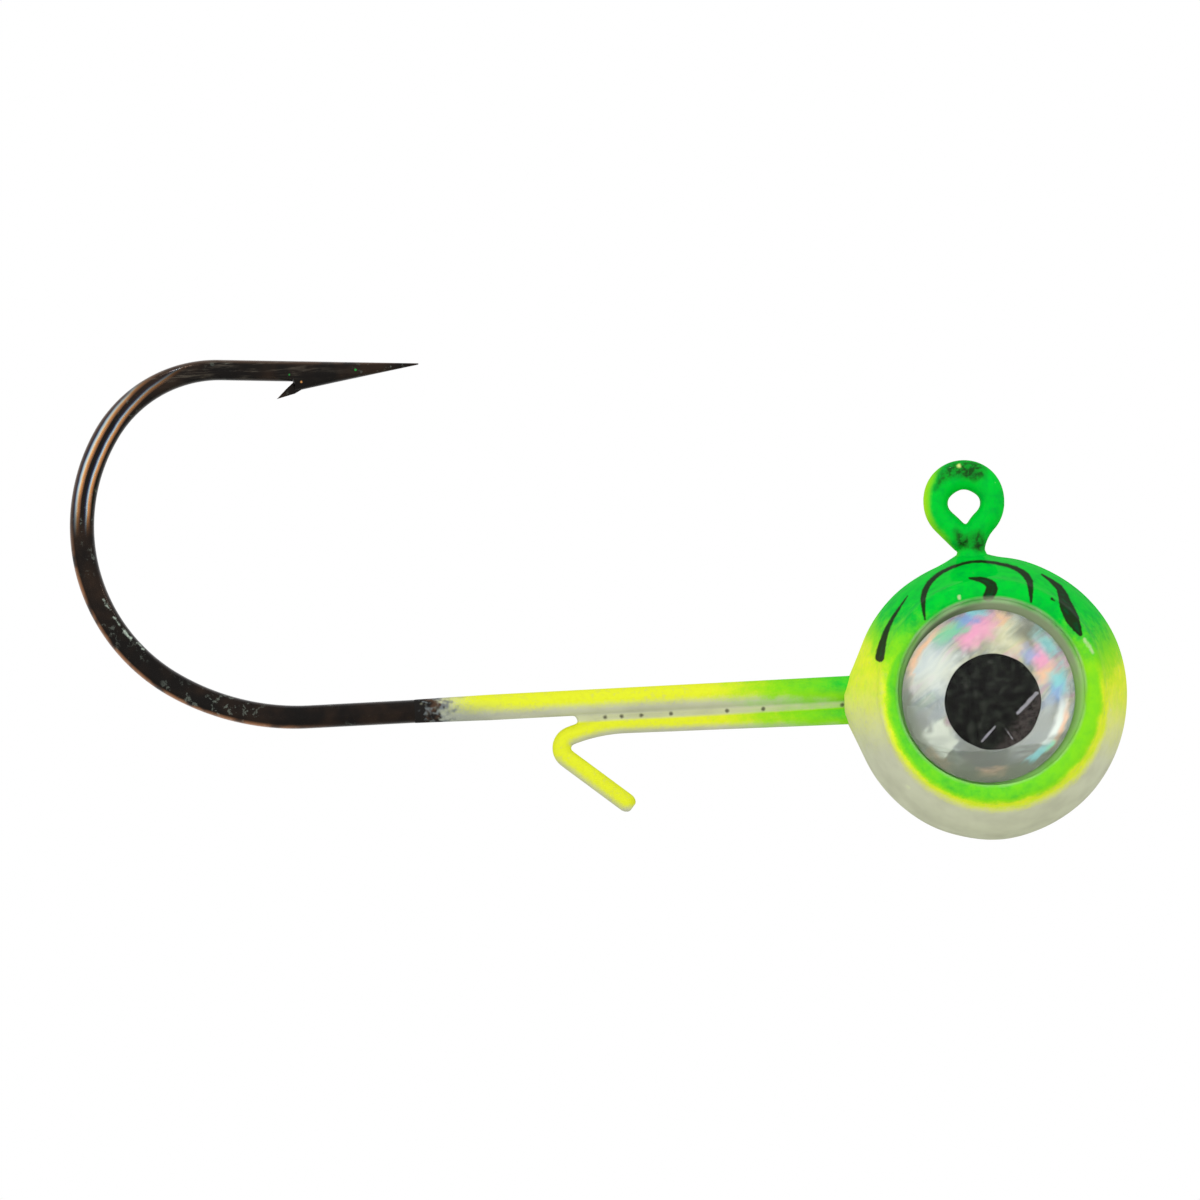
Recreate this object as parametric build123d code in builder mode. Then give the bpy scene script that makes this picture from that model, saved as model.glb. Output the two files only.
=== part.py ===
"""Ball jig head: a lead ball cast round a jig hook and a wire bait keeper, enamelled, with 3-D eyes.

Millimetres and degrees. The origin is the centre of the line eye. +X points forward, away from the
hook's bend, +Z points up, the way the line leaves, and +Y is the fish's left. The hook and the keeper
lie in the XZ plane, and the two eyes face along +Y and -Y.
"""

import os
from math import atan2, degrees, radians, sqrt, tan

from build123d import *

# ---------------------------------------------------------------------------------- the hook
wire_d = 0.70  # hook wire
line_eye_bore = 1.00  # hole that the line goes through
mandrel_flat = 0.01  # how far the forming mandrel flattens the wire inside the line eye
eye_close_angle = 222.5  # where the ring stops being round and runs straight at the neck
eye_stub = 0.85  # that straight closing end
throat_r = 1.50  # side bend from the neck into the ring
neck_forward = 0.15  # neck axis ahead of the line eye's centre
neck_height = 5.45  # shank axis below the line eye's centre
jig_bend_r = 1.00  # hidden right-angle bend inside the ball
shank_reach = 20.31  # neck axis back to the start of the bend
heel_r, heel_turn = 7.48, 32.2  # first arc of the bend, nearest the shank
back_r, back_turn = 5.55, 90.9  # middle arc
brow_r, brow_turn = 3.90, 60.9  # last arc, into the spear
forge_wide = 0.74  # bend's wire in the hook's plane, after forging
forge_flat = 0.60  # bend's wire from side to side, between the forged flats
forge_fade = 2.80  # length over which the flats come in
taper_steps = 6  # sections along a tapered part of the bend
spear_d = 0.62  # wire at the spear
spear_length = 6.00  # end of the bend to the tip
point_length = 2.49  # ground point
tip_d = 0.05  # blunt end of the point
barb_tip_back = 4.27  # barb's tip behind the point's tip
barb_root_back = 3.73  # where the barb's back face meets the wire
barb_drop = 0.54  # barb's tip below the wire
barb_width = 0.26

# ---------------------------------------------------------------------------------- the bait keeper
keeper_d = 0.49
keeper_drop = 0.83  # keeper's root below the shank axis
keeper_climb_angle = 0.7  # leg closes on the shank as it runs back
keeper_root_back = 1.45  # root behind the neck axis
keeper_leg_length = 9.28  # straight part, from the root
keeper_sag_r, keeper_sag_turn = 5.10, 19.7  # slow bend away from the shank
keeper_hair_r, keeper_hair_turn = 0.39, 121.5  # tight bend
keeper_tail_length = 2.45  # straight leg back from the tight bend, whose end holds the bait
crook_r, crook_turn, crook_leg = 0.50, 55.0, 0.60  # anchor inside the ball

# ---------------------------------------------------------------------------------- the casting
ball_r = 4.12  # bare metal
ball_ahead = 0.30  # ball's centre ahead of the neck axis
ball_below = 0.51  # ball's centre below the shank axis
collar_wall = 0.10  # metal round the wires where they leave the ball
neck_collar_rise = 0.06
rear_collar_rise = 0.05
collar_flare = 0.30  # how much wider a collar is at its root
boss_root = 0.35  # how deep a collar or the gate starts inside the ball
gate_d = 1.10  # trimmed face of the casting gate, under the ball
gate_rise = 0.10
gate_flare = 0.75

socket_ahead = 0.09  # socket axis ahead of the ball's centre
socket_above = 0.18
socket_bore_r = 2.91  # bare metal
socket_sink = 1.52  # socket floor inside the ball's side
rim_sink = 1.08  # rim's crest inside the ball's side
rim_width = 0.39  # raised metal round the socket
rim_height = 1.60  # crest to the flank's root, inside the ball
rim_draft = 0.30  # how much wider the flank is at its root
rim_round = 0.25
mouth_round = 0.12  # edge between the rim's crest and the bore

# ---------------------------------------------------------------------------------- the enamel film
head_film = 0.08
wire_film = 0.04
fade_back = 16.05  # neck axis back to the film's feathered end on the shank
fade_length = 1.20
fade_edge = 0.02  # film's thickness at that end
web_end_back = 11.95  # neck axis back to where the film no longer bridges shank and keeper
web_slope = 0.50  # how much sooner it ends at the keeper than at the shank
web_thickness = 0.26

# ---------------------------------------------------------------------------------- the eyes
eye_play = 0.20  # gap round an eye that is centred in its socket
eye_back = 0.10  # how far the eye lies behind the socket's axis
eye_settle = 0.12  # and below it
pad_inset = 0.12  # adhesive pad's edge inside the foil's
pad_thickness = 0.10
foil_thickness = 0.08
pupil_d = 2.80  # printed size, which the dome magnifies
pupil_thickness = 0.02
pupil_ahead = 0.12  # pupil's middle from the eye's
pupil_below = 0.17
dome_edge = 0.12  # straight edge of the clear dome, under its cap
dome_height = 0.95

# ---------------------------------------------------------------------------------- derived places
wire_r = wire_d / 2
keeper_r = keeper_d / 2
spear_r = spear_d / 2
forge_reach = heel_r + back_r
point_angle = degrees(atan2(spear_d - tip_d, point_length))
ring_r = line_eye_bore / 2 + wire_r - mandrel_flat
shank_z = -neck_height
ball = Vector(neck_forward + ball_ahead, 0, shank_z - ball_below)
bend_x = neck_forward - shank_reach
throat_side = neck_forward + throat_r
throat_z = -sqrt((ring_r + throat_r) ** 2 - throat_side**2)
throat_turn = degrees(atan2(-throat_z, throat_side))
keeper_x = neck_forward - keeper_root_back
keeper_z = shank_z - keeper_drop
socket_x = ball.X + socket_ahead
socket_z = ball.Z + socket_above
socket_floor = ball_r - socket_sink
rim_crest = ball_r - rim_sink
rim_r = socket_bore_r + rim_width
pad_base = socket_floor + head_film
foil_base = pad_base + pad_thickness
dome_base = foil_base + foil_thickness
eye_r = socket_bore_r - head_film - eye_play
eye_x = socket_x - eye_back
eye_z = socket_z - eye_settle
dome_r = (eye_r**2 + dome_height**2) / (2 * dome_height)
wires_r = (wire_r + keeper_drop + keeper_r) / 2
wires_z = shank_z + wire_r - wires_r
fade_x = neck_forward - fade_back
web_x = neck_forward - web_end_back


# ---------------------------------------------------------------------------------- shared forms
def round_wire(radius, edges):
    """A round bar of the given radius along joined edges."""
    with BuildPart() as bar:
        with BuildLine() as path:
            add(edges)
        with BuildSketch(Plane(edges[0] @ 0, z_dir=edges[0] % 0)):
            Circle(radius)
        sweep(path=path.line)
    return bar.part


def line_eye_form(radius):
    """The closed ring, its side bend and the neck down to the jig bend, in a bar of one radius."""
    with BuildLine(Plane.XZ, mode=Mode.PRIVATE):
        ring = CenterArc((0, 0), ring_r, -throat_turn, eye_close_angle + throat_turn)
        stub = Line(ring @ 1, ring @ 1 + (ring % 1) * eye_stub)
        throat = CenterArc((throat_side, throat_z), throat_r, 180 - throat_turn, throat_turn)
        neck = Line(throat @ 1, (neck_forward, shank_z + jig_bend_r))
    with BuildPart() as form:
        add(round_wire(radius, [ring, stub]))
        add(round_wire(radius, [throat, neck]))
    return form.part


def keeper_form(radius, cap):
    """The keeper from its root to its free end, in a bar of one radius, longer by cap at that end."""
    with BuildLine(Plane.XZ, mode=Mode.PRIVATE):
        leg = PolarLine((keeper_x, keeper_z), keeper_leg_length, angle=180 - keeper_climb_angle)
        sag = JernArc(leg @ 1, leg % 1, keeper_sag_r, keeper_sag_turn)
        hair = JernArc(sag @ 1, sag % 1, keeper_hair_r, keeper_hair_turn)
        tail = Line(hair @ 1, hair @ 1 + (hair % 1) * (keeper_tail_length + cap))
    return round_wire(radius, [leg, sag, hair, tail])


def side_plane(side, distance):
    """The plane across one eye's axis, at a distance from the ball's middle, with local Y upwards."""
    return Plane((socket_x, side * distance, socket_z), x_dir=(-side, 0, 0), z_dir=(0, side, 0))


def turning_plane(side, centre):
    """A plane through one eye's axis for a profile: local X is the radius, local Y points outwards."""
    return Plane(centre, x_dir=(0, 0, 1), z_dir=(-side, 0, 0))


def cast_boss(base, rise, top_r, flare):
    """A collar or gate on the ball: a cone from inside the ball to its rise above the ball's surface."""
    with Locations(base):
        Cone(top_r + flare, top_r, boss_root + rise, align=(Align.CENTER, Align.CENTER, Align.MIN))


def head_form(film):
    """The ball with its sockets, collars and gate stub, grown outwards by a film."""
    root = ball_r - boss_root
    collar = collar_wall + film
    with BuildPart() as form:
        with Locations(ball):
            Sphere(ball_r + film)
        neck_base = Plane((neck_forward, 0, ball.Z + root))
        cast_boss(neck_base, neck_collar_rise + film, wire_r + collar, collar_flare)
        rear_base = Plane((ball.X - root, 0, wires_z), z_dir=(-1, 0, 0))
        cast_boss(rear_base, rear_collar_rise + film, wires_r + collar, collar_flare)
        gate_base = Plane((ball.X, 0, ball.Z - root), z_dir=(0, 0, -1))
        cast_boss(gate_base, gate_rise + film, gate_d / 2 + film, gate_flare)
        for side in (1, -1):
            centre = (socket_x, 0, socket_z)
            axis = Axis(centre, (0, side, 0))
            crest = rim_crest + film
            outer = rim_r + film
            bore = socket_bore_r - film
            mouth = mouth_round + film
            above = ball_r + film + mouth
            with BuildSketch(turning_plane(side, centre)):
                with BuildLine():
                    FilletPolyline(
                        (0, crest),
                        (outer, crest),
                        (outer + rim_draft, rim_crest - rim_height),
                        (0, rim_crest - rim_height),
                        radius=[0, rim_round + film, 0, 0],
                        close=True,
                    )
                make_face()
            revolve(axis=axis)
            with BuildSketch(turning_plane(side, centre)):
                with BuildLine():
                    floor = Line((0, socket_floor + film), (bore, socket_floor + film))
                    wall = Line(floor @ 1, (bore, crest - mouth))
                    lip = RadiusArc(wall @ 1, (bore + mouth, crest), -mouth)
                    Polyline(lip @ 1, (bore + mouth, above), (0, above), floor @ 0)
                make_face()
            revolve(axis=axis, mode=Mode.SUBTRACT)
    return form.part


# ---------------------------------------------------------------------------------- hook
with BuildLine(Plane.XZ):
    jig_bend = JernArc((neck_forward, shank_z + jig_bend_r), (0, -1), jig_bend_r, -90)
    shank = Line(jig_bend @ 1, (bend_x, shank_z))
with BuildLine(Plane.XZ):
    heel = JernArc(shank @ 1, shank % 1, heel_r, -heel_turn)
    back = JernArc(heel @ 1, heel % 1, back_r, -back_turn)
    brow = JernArc(back @ 1, back % 1, brow_r, -brow_turn)
    spear = Line(brow @ 1, brow @ 1 + (brow % 1) * spear_length)
    point_line = Line(spear @ 1 - (spear % 1) * point_length, spear @ 1)


def across_wire(edge, share):
    """The plane square to the hook's wire at a share of an edge's length, with local X sideways."""
    return Plane(edge @ share, x_dir=(0, 1, 0), z_dir=edge % share)


def tapered_wire(edge, start_r, end_r):
    """A round bar along one bent edge, whose radius goes evenly from one value to another."""
    with BuildPart() as bar:
        for step in range(taper_steps + 1):
            share = step / taper_steps
            with BuildSketch(across_wire(edge, share)):
                Circle(start_r + (end_r - start_r) * share)
        loft()
    return bar.part


with BuildPart() as bend:
    add(tapered_wire(heel, wire_r, forge_wide / 2))
    add(round_wire(forge_wide / 2, [back]))
    add(tapered_wire(brow, forge_wide / 2, spear_r))
    with BuildSketch(Plane.XY):
        with BuildLine():
            Polyline(
                (bend_x, wire_r),
                (bend_x - forge_fade, forge_flat / 2),
                (bend_x - forge_reach, forge_flat / 2),
                (bend_x - forge_reach, -forge_flat / 2),
                (bend_x - forge_fade, -forge_flat / 2),
                (bend_x, -wire_r),
                close=True,
            )
        make_face()
    extrude(amount=2 * forge_reach, both=True, mode=Mode.INTERSECT)

with BuildPart() as hook:
    add(line_eye_form(wire_r))
    add(round_wire(wire_r, [jig_bend, shank]))
    add(bend.part)
    with BuildSketch(across_wire(spear, 0)):
        Circle(spear_r)
    extrude(amount=spear_length - point_length)
    with BuildSketch(Plane(point_line @ 0, x_dir=(0, 1, 0), z_dir=spear % 1)):
        Circle(spear_r)
    with BuildSketch(Plane(point_line @ 1, x_dir=(0, 1, 0), z_dir=spear % 1)):
        with Locations((0, spear_r - tip_d / 2)):
            Circle(tip_d / 2)
    loft()
    barb_tip = (-barb_tip_back, -spear_r - barb_drop)
    with BuildSketch(Plane(spear @ 1, x_dir=spear % 1, z_dir=(0, -1, 0))):
        with BuildLine():
            under = (-point_length, -spear_r)
            TangentArc(under, barb_tip, tangent=(-1, -tan(radians(point_angle))))
            Polyline(barb_tip, (-barb_root_back, -spear_r), (-point_length, 0), under)
        make_face()
    extrude(amount=barb_width / 2, both=True)
    with BuildSketch(Plane.XZ):
        Circle(line_eye_bore / 2)
    extrude(amount=wire_d, both=True, mode=Mode.SUBTRACT)

# ---------------------------------------------------------------------------------- bait keeper
with BuildPart() as bait_keeper:
    add(keeper_form(keeper_r, 0))
    with BuildLine(Plane.XZ, mode=Mode.PRIVATE):
        crook = JernArc((keeper_x, keeper_z), (1, 0), crook_r, -crook_turn)
        anchor = Line(crook @ 1, crook @ 1 + (crook % 1) * crook_leg)
    add(round_wire(keeper_r, [crook, anchor]))

# ---------------------------------------------------------------------------------- head casting
with BuildPart() as head_casting:
    add(head_form(0))
    add(hook.part, mode=Mode.SUBTRACT)
    add(bait_keeper.part, mode=Mode.SUBTRACT)

# ---------------------------------------------------------------------------------- enamel coat
with BuildPart() as enamel_coat:
    add(head_form(head_film))
    add(line_eye_form(wire_r + wire_film))
    add(keeper_form(keeper_r + wire_film, wire_film))
    with BuildSketch(Plane((ball.X, 0, shank_z), x_dir=(1, 0, 0), z_dir=(0, -1, 0))):
        with BuildLine():
            Polyline(
                (0, 0),
                (0, wire_r + wire_film),
                (fade_x + fade_length - ball.X, wire_r + wire_film),
                (fade_x - ball.X, wire_r + fade_edge),
                (fade_x - ball.X, 0),
                close=True,
            )
        make_face()
    revolve(axis=Axis((0, 0, shank_z), (1, 0, 0)))
    with BuildSketch(Plane.XZ):
        with BuildLine():
            Polyline(
                (keeper_x, shank_z),
                (web_x, shank_z),
                (web_x + web_slope, keeper_z),
                (keeper_x, keeper_z),
                close=True,
            )
        make_face()
    extrude(amount=web_thickness / 2, both=True)
    add(head_form(0), mode=Mode.SUBTRACT)
    add(hook.part, mode=Mode.SUBTRACT)
    add(bait_keeper.part, mode=Mode.SUBTRACT)
    with BuildSketch(Plane.XZ):
        Circle(line_eye_bore / 2)
    extrude(amount=wire_d, both=True, mode=Mode.SUBTRACT)


# ---------------------------------------------------------------------------------- write the pieces
def write(piece, name):
    """Label one finished piece and write its STEP file."""
    piece.part.label = name
    export_step(piece.part, f"parts/{name}.step")


os.makedirs("parts", exist_ok=True)
write(hook, "hook")
write(bait_keeper, "bait_keeper")
write(head_casting, "head_casting")
write(enamel_coat, "enamel_coat")

# ---------------------------------------------------------------------------------- the two eyes
for name, side in (("left", 1), ("right", -1)):
    with BuildPart() as eye_pad:
        with BuildSketch(side_plane(side, pad_base)):
            with Locations((side * eye_back, -eye_settle)):
                Circle(eye_r - pad_inset)
        extrude(amount=pad_thickness)
    with BuildPart() as eye_foil:
        with BuildSketch(side_plane(side, foil_base)):
            with Locations((side * eye_back, -eye_settle)):
                Circle(eye_r)
        extrude(amount=foil_thickness)
    with BuildPart() as eye_pupil:
        with BuildSketch(side_plane(side, dome_base)):
            with Locations((side * (eye_back - pupil_ahead), -eye_settle - pupil_below)):
                Circle(pupil_d / 2)
        extrude(amount=pupil_thickness)
    with BuildPart() as eye_dome:
        centre = (eye_x, side * dome_base, eye_z)
        with BuildSketch(turning_plane(side, centre)):
            with BuildLine():
                base = Line((0, 0), (eye_r, 0))
                edge = Line(base @ 1, (eye_r, dome_edge))
                cap = RadiusArc(edge @ 1, (0, dome_edge + dome_height), -dome_r)
                Line(cap @ 1, base @ 0)
            make_face()
        revolve(axis=Axis(centre, (0, side, 0)))
        add(eye_pupil.part, mode=Mode.SUBTRACT)
    write(eye_pad, f"{name}_eye_pad")
    write(eye_foil, f"{name}_eye_foil")
    write(eye_pupil, f"{name}_eye_pupil")
    write(eye_dome, f"{name}_eye_dome")
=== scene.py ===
"""Looks of the ball jig head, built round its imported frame.

Sizes and places are in millimetres and angles in degrees; a mesh is scaled to metres when it is
stored. The origin is the centre of the line eye. +X points forward, away from the hook's bend, +Z
points up, and +Y is the fish's left. An angle in the XZ plane runs anticlockwise from +X, as it is
seen from the fish's right.
"""

import logging
import math
from collections.abc import Callable, Sequence
from dataclasses import dataclass, field
from enum import Enum

import bmesh
import bpy
import numpy as np
from mathutils import Matrix, Vector, noise


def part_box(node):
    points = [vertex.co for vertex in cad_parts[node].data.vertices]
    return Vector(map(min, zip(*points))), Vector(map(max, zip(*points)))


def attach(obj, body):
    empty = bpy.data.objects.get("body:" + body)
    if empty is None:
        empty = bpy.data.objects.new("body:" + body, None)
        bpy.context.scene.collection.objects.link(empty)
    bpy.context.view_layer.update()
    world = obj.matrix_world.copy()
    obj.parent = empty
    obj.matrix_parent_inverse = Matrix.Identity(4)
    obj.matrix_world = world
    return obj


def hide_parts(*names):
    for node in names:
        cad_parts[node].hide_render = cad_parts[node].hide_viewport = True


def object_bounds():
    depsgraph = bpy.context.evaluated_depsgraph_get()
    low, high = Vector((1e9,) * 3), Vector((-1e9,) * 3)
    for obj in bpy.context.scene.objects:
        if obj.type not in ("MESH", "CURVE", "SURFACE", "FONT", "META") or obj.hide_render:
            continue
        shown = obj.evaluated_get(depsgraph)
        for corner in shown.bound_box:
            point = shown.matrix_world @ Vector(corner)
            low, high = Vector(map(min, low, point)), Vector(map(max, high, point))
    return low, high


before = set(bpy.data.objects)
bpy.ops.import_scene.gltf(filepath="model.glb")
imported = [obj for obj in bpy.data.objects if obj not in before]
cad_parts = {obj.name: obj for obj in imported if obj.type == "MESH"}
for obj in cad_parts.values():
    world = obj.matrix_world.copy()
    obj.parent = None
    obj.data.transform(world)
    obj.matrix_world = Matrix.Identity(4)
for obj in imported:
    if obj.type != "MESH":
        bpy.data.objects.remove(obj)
cad_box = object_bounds()

MM = 0.001
# radius at which a turned disc's profile starts and ends; a fan closes the rest
HUB = 0.02
WHITE = (1.0, 1.0, 1.0, 1.0)
log = logging.getLogger("jig_head")

Socket = bpy.types.NodeSocket


class Side(Enum):
    """Which of the fish's two sides a piece is on. The value is its direction along Y."""

    LEFT = 1
    RIGHT = -1


@dataclass(frozen=True)
class Tint:
    """A colour as a paint chart gives it, in 0 to 255 sRGB."""

    red: int
    green: int
    blue: int

    @property
    def linear(self) -> tuple[float, float, float, float]:
        """The colour as shader sockets take it."""
        channels = []
        for part in (self.red, self.green, self.blue):
            share = part / 255
            channels.append(share / 12.92 if share <= 0.04045 else ((share + 0.055) / 1.055) ** 2.4)
        return (*channels, 1.0)


class Paint(Enum):
    """The paints, inks and bare surfaces of the lure."""

    PRIMER = Tint(201, 204, 178)
    PRIMER_DULL = Tint(186, 188, 164)
    # primer painted darker for the inside of the socket: painted shade in the recess
    SOCKET = Tint(150, 162, 128)
    # painted shade: the dark line in the socket's floor next to the foil
    SOCKET_DIRT = Tint(30, 60, 32)
    # the socket's lip: thin, worn paint, with a painted highlight along its crest
    LIP = Tint(206, 218, 182)
    THIN_COAT = Tint(126, 134, 136)
    YELLOW = Tint(232, 240, 50)
    YELLOW_DEEP = Tint(220, 224, 40)
    LIME = Tint(138, 220, 30)
    GREEN = Tint(0, 200, 50)
    GREEN_DEEP = Tint(0, 160, 58)
    STRIPE = Tint(28, 34, 22)
    STRIPE_THIN = Tint(12, 62, 34)
    # pale nicks where the primer shows, and painted highlights on the rim's crest
    CHIP = Tint(214, 222, 176)
    WIRE_DULL = Tint(242, 242, 240)
    # painted highlight on top of the line eye
    BEAD = Tint(222, 236, 140)
    PINHOLE = Tint(52, 46, 40)
    NICKEL = Tint(31, 29, 28)
    NICKEL_BRONZE = Tint(88, 66, 50)
    # colours of the painted reflections along the hook's bend; gold also paints a glint at the barb
    GOLD_REFLECTION = Tint(232, 164, 92)
    CREAM_REFLECTION = Tint(240, 226, 202)
    ICE_REFLECTION = Tint(186, 212, 224)
    NAVY_REFLECTION = Tint(44, 52, 84)
    # orange-brown: a band of the painted reflections, and the tint of the hook's outer edge
    ORANGE_BROWN = Tint(176, 122, 84)
    NICKEL_STREAK = Tint(112, 104, 92)
    NICKEL_DUST = Tint(170, 184, 170)
    FOIL = Tint(138, 145, 138)
    FOIL_DARK = Tint(80, 86, 76)
    # painted shade at the foil's rim, under the dome's bevel
    FOIL_RIM_SHADE = Tint(84, 94, 72)
    FOIL_BRIGHT = Tint(206, 214, 206)
    # painted reflection of a window in the dome
    FOIL_WINDOW_REFLECTION = Tint(170, 178, 162)
    FOIL_PINK = Tint(226, 150, 184)
    FOIL_PEACH = Tint(224, 180, 140)
    FOIL_CREAM = Tint(216, 214, 164)
    FOIL_CYAN = Tint(116, 194, 196)
    FOIL_MINT = Tint(112, 194, 146)
    FOIL_BLUE = Tint(112, 150, 200)
    INK = Tint(7, 7, 6)
    INK_SPECK = Tint(58, 63, 55)
    INK_THIN = Tint(62, 56, 54)
    SCRATCH = Tint(176, 174, 180)
    LEAD = Tint(120, 122, 126)
    LEAD_DULL = Tint(86, 88, 92)
    ADHESIVE = Tint(214, 210, 196)
    KEEPER_STEEL = Tint(150, 150, 146)
    PAPER = Tint(244, 244, 242)


# ------------------------------------------------------------------------------------- shapes
def node_box(node: str) -> tuple[np.ndarray, np.ndarray]:
    """The lowest and highest corner of a CAD node, in millimetres.

    Args:
        node: name of the CAD node.

    Returns:
        The two corners.
    """
    low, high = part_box(node)
    return np.array(low) / MM, np.array(high) / MM


def smooth_step(value: np.ndarray | float, low: float, high: float) -> np.ndarray | float:
    """An S-shaped rise from 0 at low to 1 at high, with the ends held.

    Args:
        value: where the rise is read.
        low: value at which it starts; it may be above high, for a fall.
        high: value at which it ends.

    Returns:
        The rise, from 0 to 1.
    """
    share = np.clip((value - low) / (high - low), 0.0, 1.0)
    return share * share * (3 - 2 * share)


def smooth_max(first: np.ndarray, second: np.ndarray, blend: float) -> np.ndarray:
    """The larger of two heights, with a fillet where they cross.

    Args:
        first: one set of heights.
        second: the other set.
        blend: how far from the crossing the fillet reaches.

    Returns:
        The joined heights.
    """
    share = np.clip(0.5 + 0.5 * (first - second) / blend, 0.0, 1.0)
    return second + (first - second) * share + blend * share * (1 - share)


def arc(
    radius: float, middle: tuple[float, float], start: float, end: float, count: int
) -> list[tuple[float, float]]:
    """Points along an arc in a plane, between two angles in degrees from the first axis."""
    turns = np.radians(np.linspace(start, end, count))
    across, up = middle
    return [(across + radius * math.cos(turn), up + radius * math.sin(turn)) for turn in turns]


def ring_angles(count: int) -> np.ndarray:
    """Evenly spaced directions round a ring, in radians."""
    return np.arange(count) * 2 * math.pi / count


@dataclass
class Shape:
    """Points in millimetres and the faces between them."""

    points: np.ndarray
    faces: list[tuple[int, ...]]

    @staticmethod
    def joined(shapes: Sequence["Shape"]) -> "Shape":
        """Several shapes in one, which still overlap where they cross."""
        points, faces, offset = [], [], 0
        for shape in shapes:
            points.append(shape.points)
            faces += [tuple(index + offset for index in face) for face in shape.faces]
            offset += len(shape.points)
        return Shape(np.vstack(points), faces)

    @staticmethod
    def lofted(rows: Sequence[np.ndarray]) -> "Shape":
        """A closed skin over rings of points with the same count, capped by a fan at each end.

        Args:
            rows: the rings, each an array of points, from one end to the other.

        Returns:
            The closed shape.
        """
        count = len(rows[0])
        faces: list[tuple[int, ...]] = []
        for row in range(len(rows) - 1):
            for index in range(count):
                after = (index + 1) % count
                start, end = row * count, (row + 1) * count
                faces.append((start + index, start + after, end + after, end + index))
        first, last = len(rows) * count, len(rows) * count + 1
        tail = (len(rows) - 1) * count
        for index in range(count):
            after = (index + 1) % count
            faces.append((first, after, index))
            faces.append((last, tail + index, tail + after))
        ends = [rows[0].mean(axis=0), rows[-1].mean(axis=0)]
        return Shape(np.vstack([*rows, *ends]), faces)

    def mesh(self, name: str, scale: float) -> bpy.types.Mesh:
        """The shape as a Blender mesh, with its normals made to point outwards.

        Args:
            name: name of the mesh.
            scale: factor on every length.

        Returns:
            The new mesh.
        """
        data = bpy.data.meshes.new(name)
        data.from_pydata((self.points * scale).tolist(), [], self.faces)
        work = bmesh.new()
        work.from_mesh(data)
        bmesh.ops.recalc_face_normals(work, faces=work.faces)
        work.to_mesh(data)
        work.free()
        return data


def work_piece(name: str, shape: Shape) -> bpy.types.Object:
    """A shape put into the scene for a while, in millimetres, to be cut or joined."""
    work = bpy.data.objects.new(name + "_work", shape.mesh(name + "_work", 1.0))
    bpy.context.scene.collection.objects.link(work)
    return work


def evaluated(piece: bpy.types.Object, name: str) -> bpy.types.Mesh:
    """The mesh that a piece has once its modifiers are applied.

    Args:
        piece: object with modifiers.
        name: name of the new mesh.

    Returns:
        The new mesh.
    """
    bpy.context.view_layer.update()
    graph = bpy.context.evaluated_depsgraph_get()
    data = bpy.data.meshes.new_from_object(piece.evaluated_get(graph))
    data.name = name
    return data


def fused(shape: Shape, name: str, voxel: float, rounds: int) -> bpy.types.Mesh:
    """Overlapping closed shapes made one skin, with its corners filled as dipped paint fills them.

    Args:
        shape: the overlapping shapes.
        name: name of the new mesh.
        voxel: size of the cells that the skin is rebuilt from.
        rounds: how often the skin is smoothed.

    Returns:
        The new mesh, in millimetres.
    """
    work = work_piece(name, shape)
    remesh = work.modifiers.new("fuse", "REMESH")
    remesh.mode = "VOXEL"
    remesh.voxel_size = voxel
    smooth = work.modifiers.new("fill", "SMOOTH")
    smooth.factor = 0.5
    smooth.iterations = rounds
    data = evaluated(work, name)
    bpy.data.objects.remove(work)
    return data


def stored(
    name: str, data: bpy.types.Mesh, finish: bpy.types.Material, sharp: float = 35.0
) -> bpy.types.Object:
    """Puts a finished mesh into the scene as a piece.

    Args:
        name: name of the piece.
        data: its mesh, in metres.
        finish: its material.
        sharp: angle from which an edge stays sharp.

    Returns:
        The piece.
    """
    data.name = name
    data.shade_smooth()
    data.set_sharp_from_angle(angle=math.radians(sharp))
    data.materials.clear()
    data.materials.append(finish)
    piece = bpy.data.objects.new(name, data)
    bpy.context.scene.collection.objects.link(piece)
    return piece


def placed(piece: bpy.types.Object, slot: str, *nodes: str) -> None:
    """Hands a piece to the frame and reports it.

    Args:
        piece: the piece.
        slot: material slot of the record that its finish belongs to.
        nodes: CAD nodes that the piece stands for.
    """
    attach(piece, "root")
    if nodes:
        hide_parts(*nodes)
    log.info("%s: %d faces, slot %s, for %s", piece.name, len(piece.data.polygons), slot, nodes)


def dressed(node: str, finish: bpy.types.Material) -> None:
    """Gives a CAD node that stays in the scene a finish.

    Args:
        node: name of the CAD node.
        finish: its material.
    """
    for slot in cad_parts[node].material_slots:
        slot.material = finish
    log.info("%s: CAD node, finish %s", node, finish.name)


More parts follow.
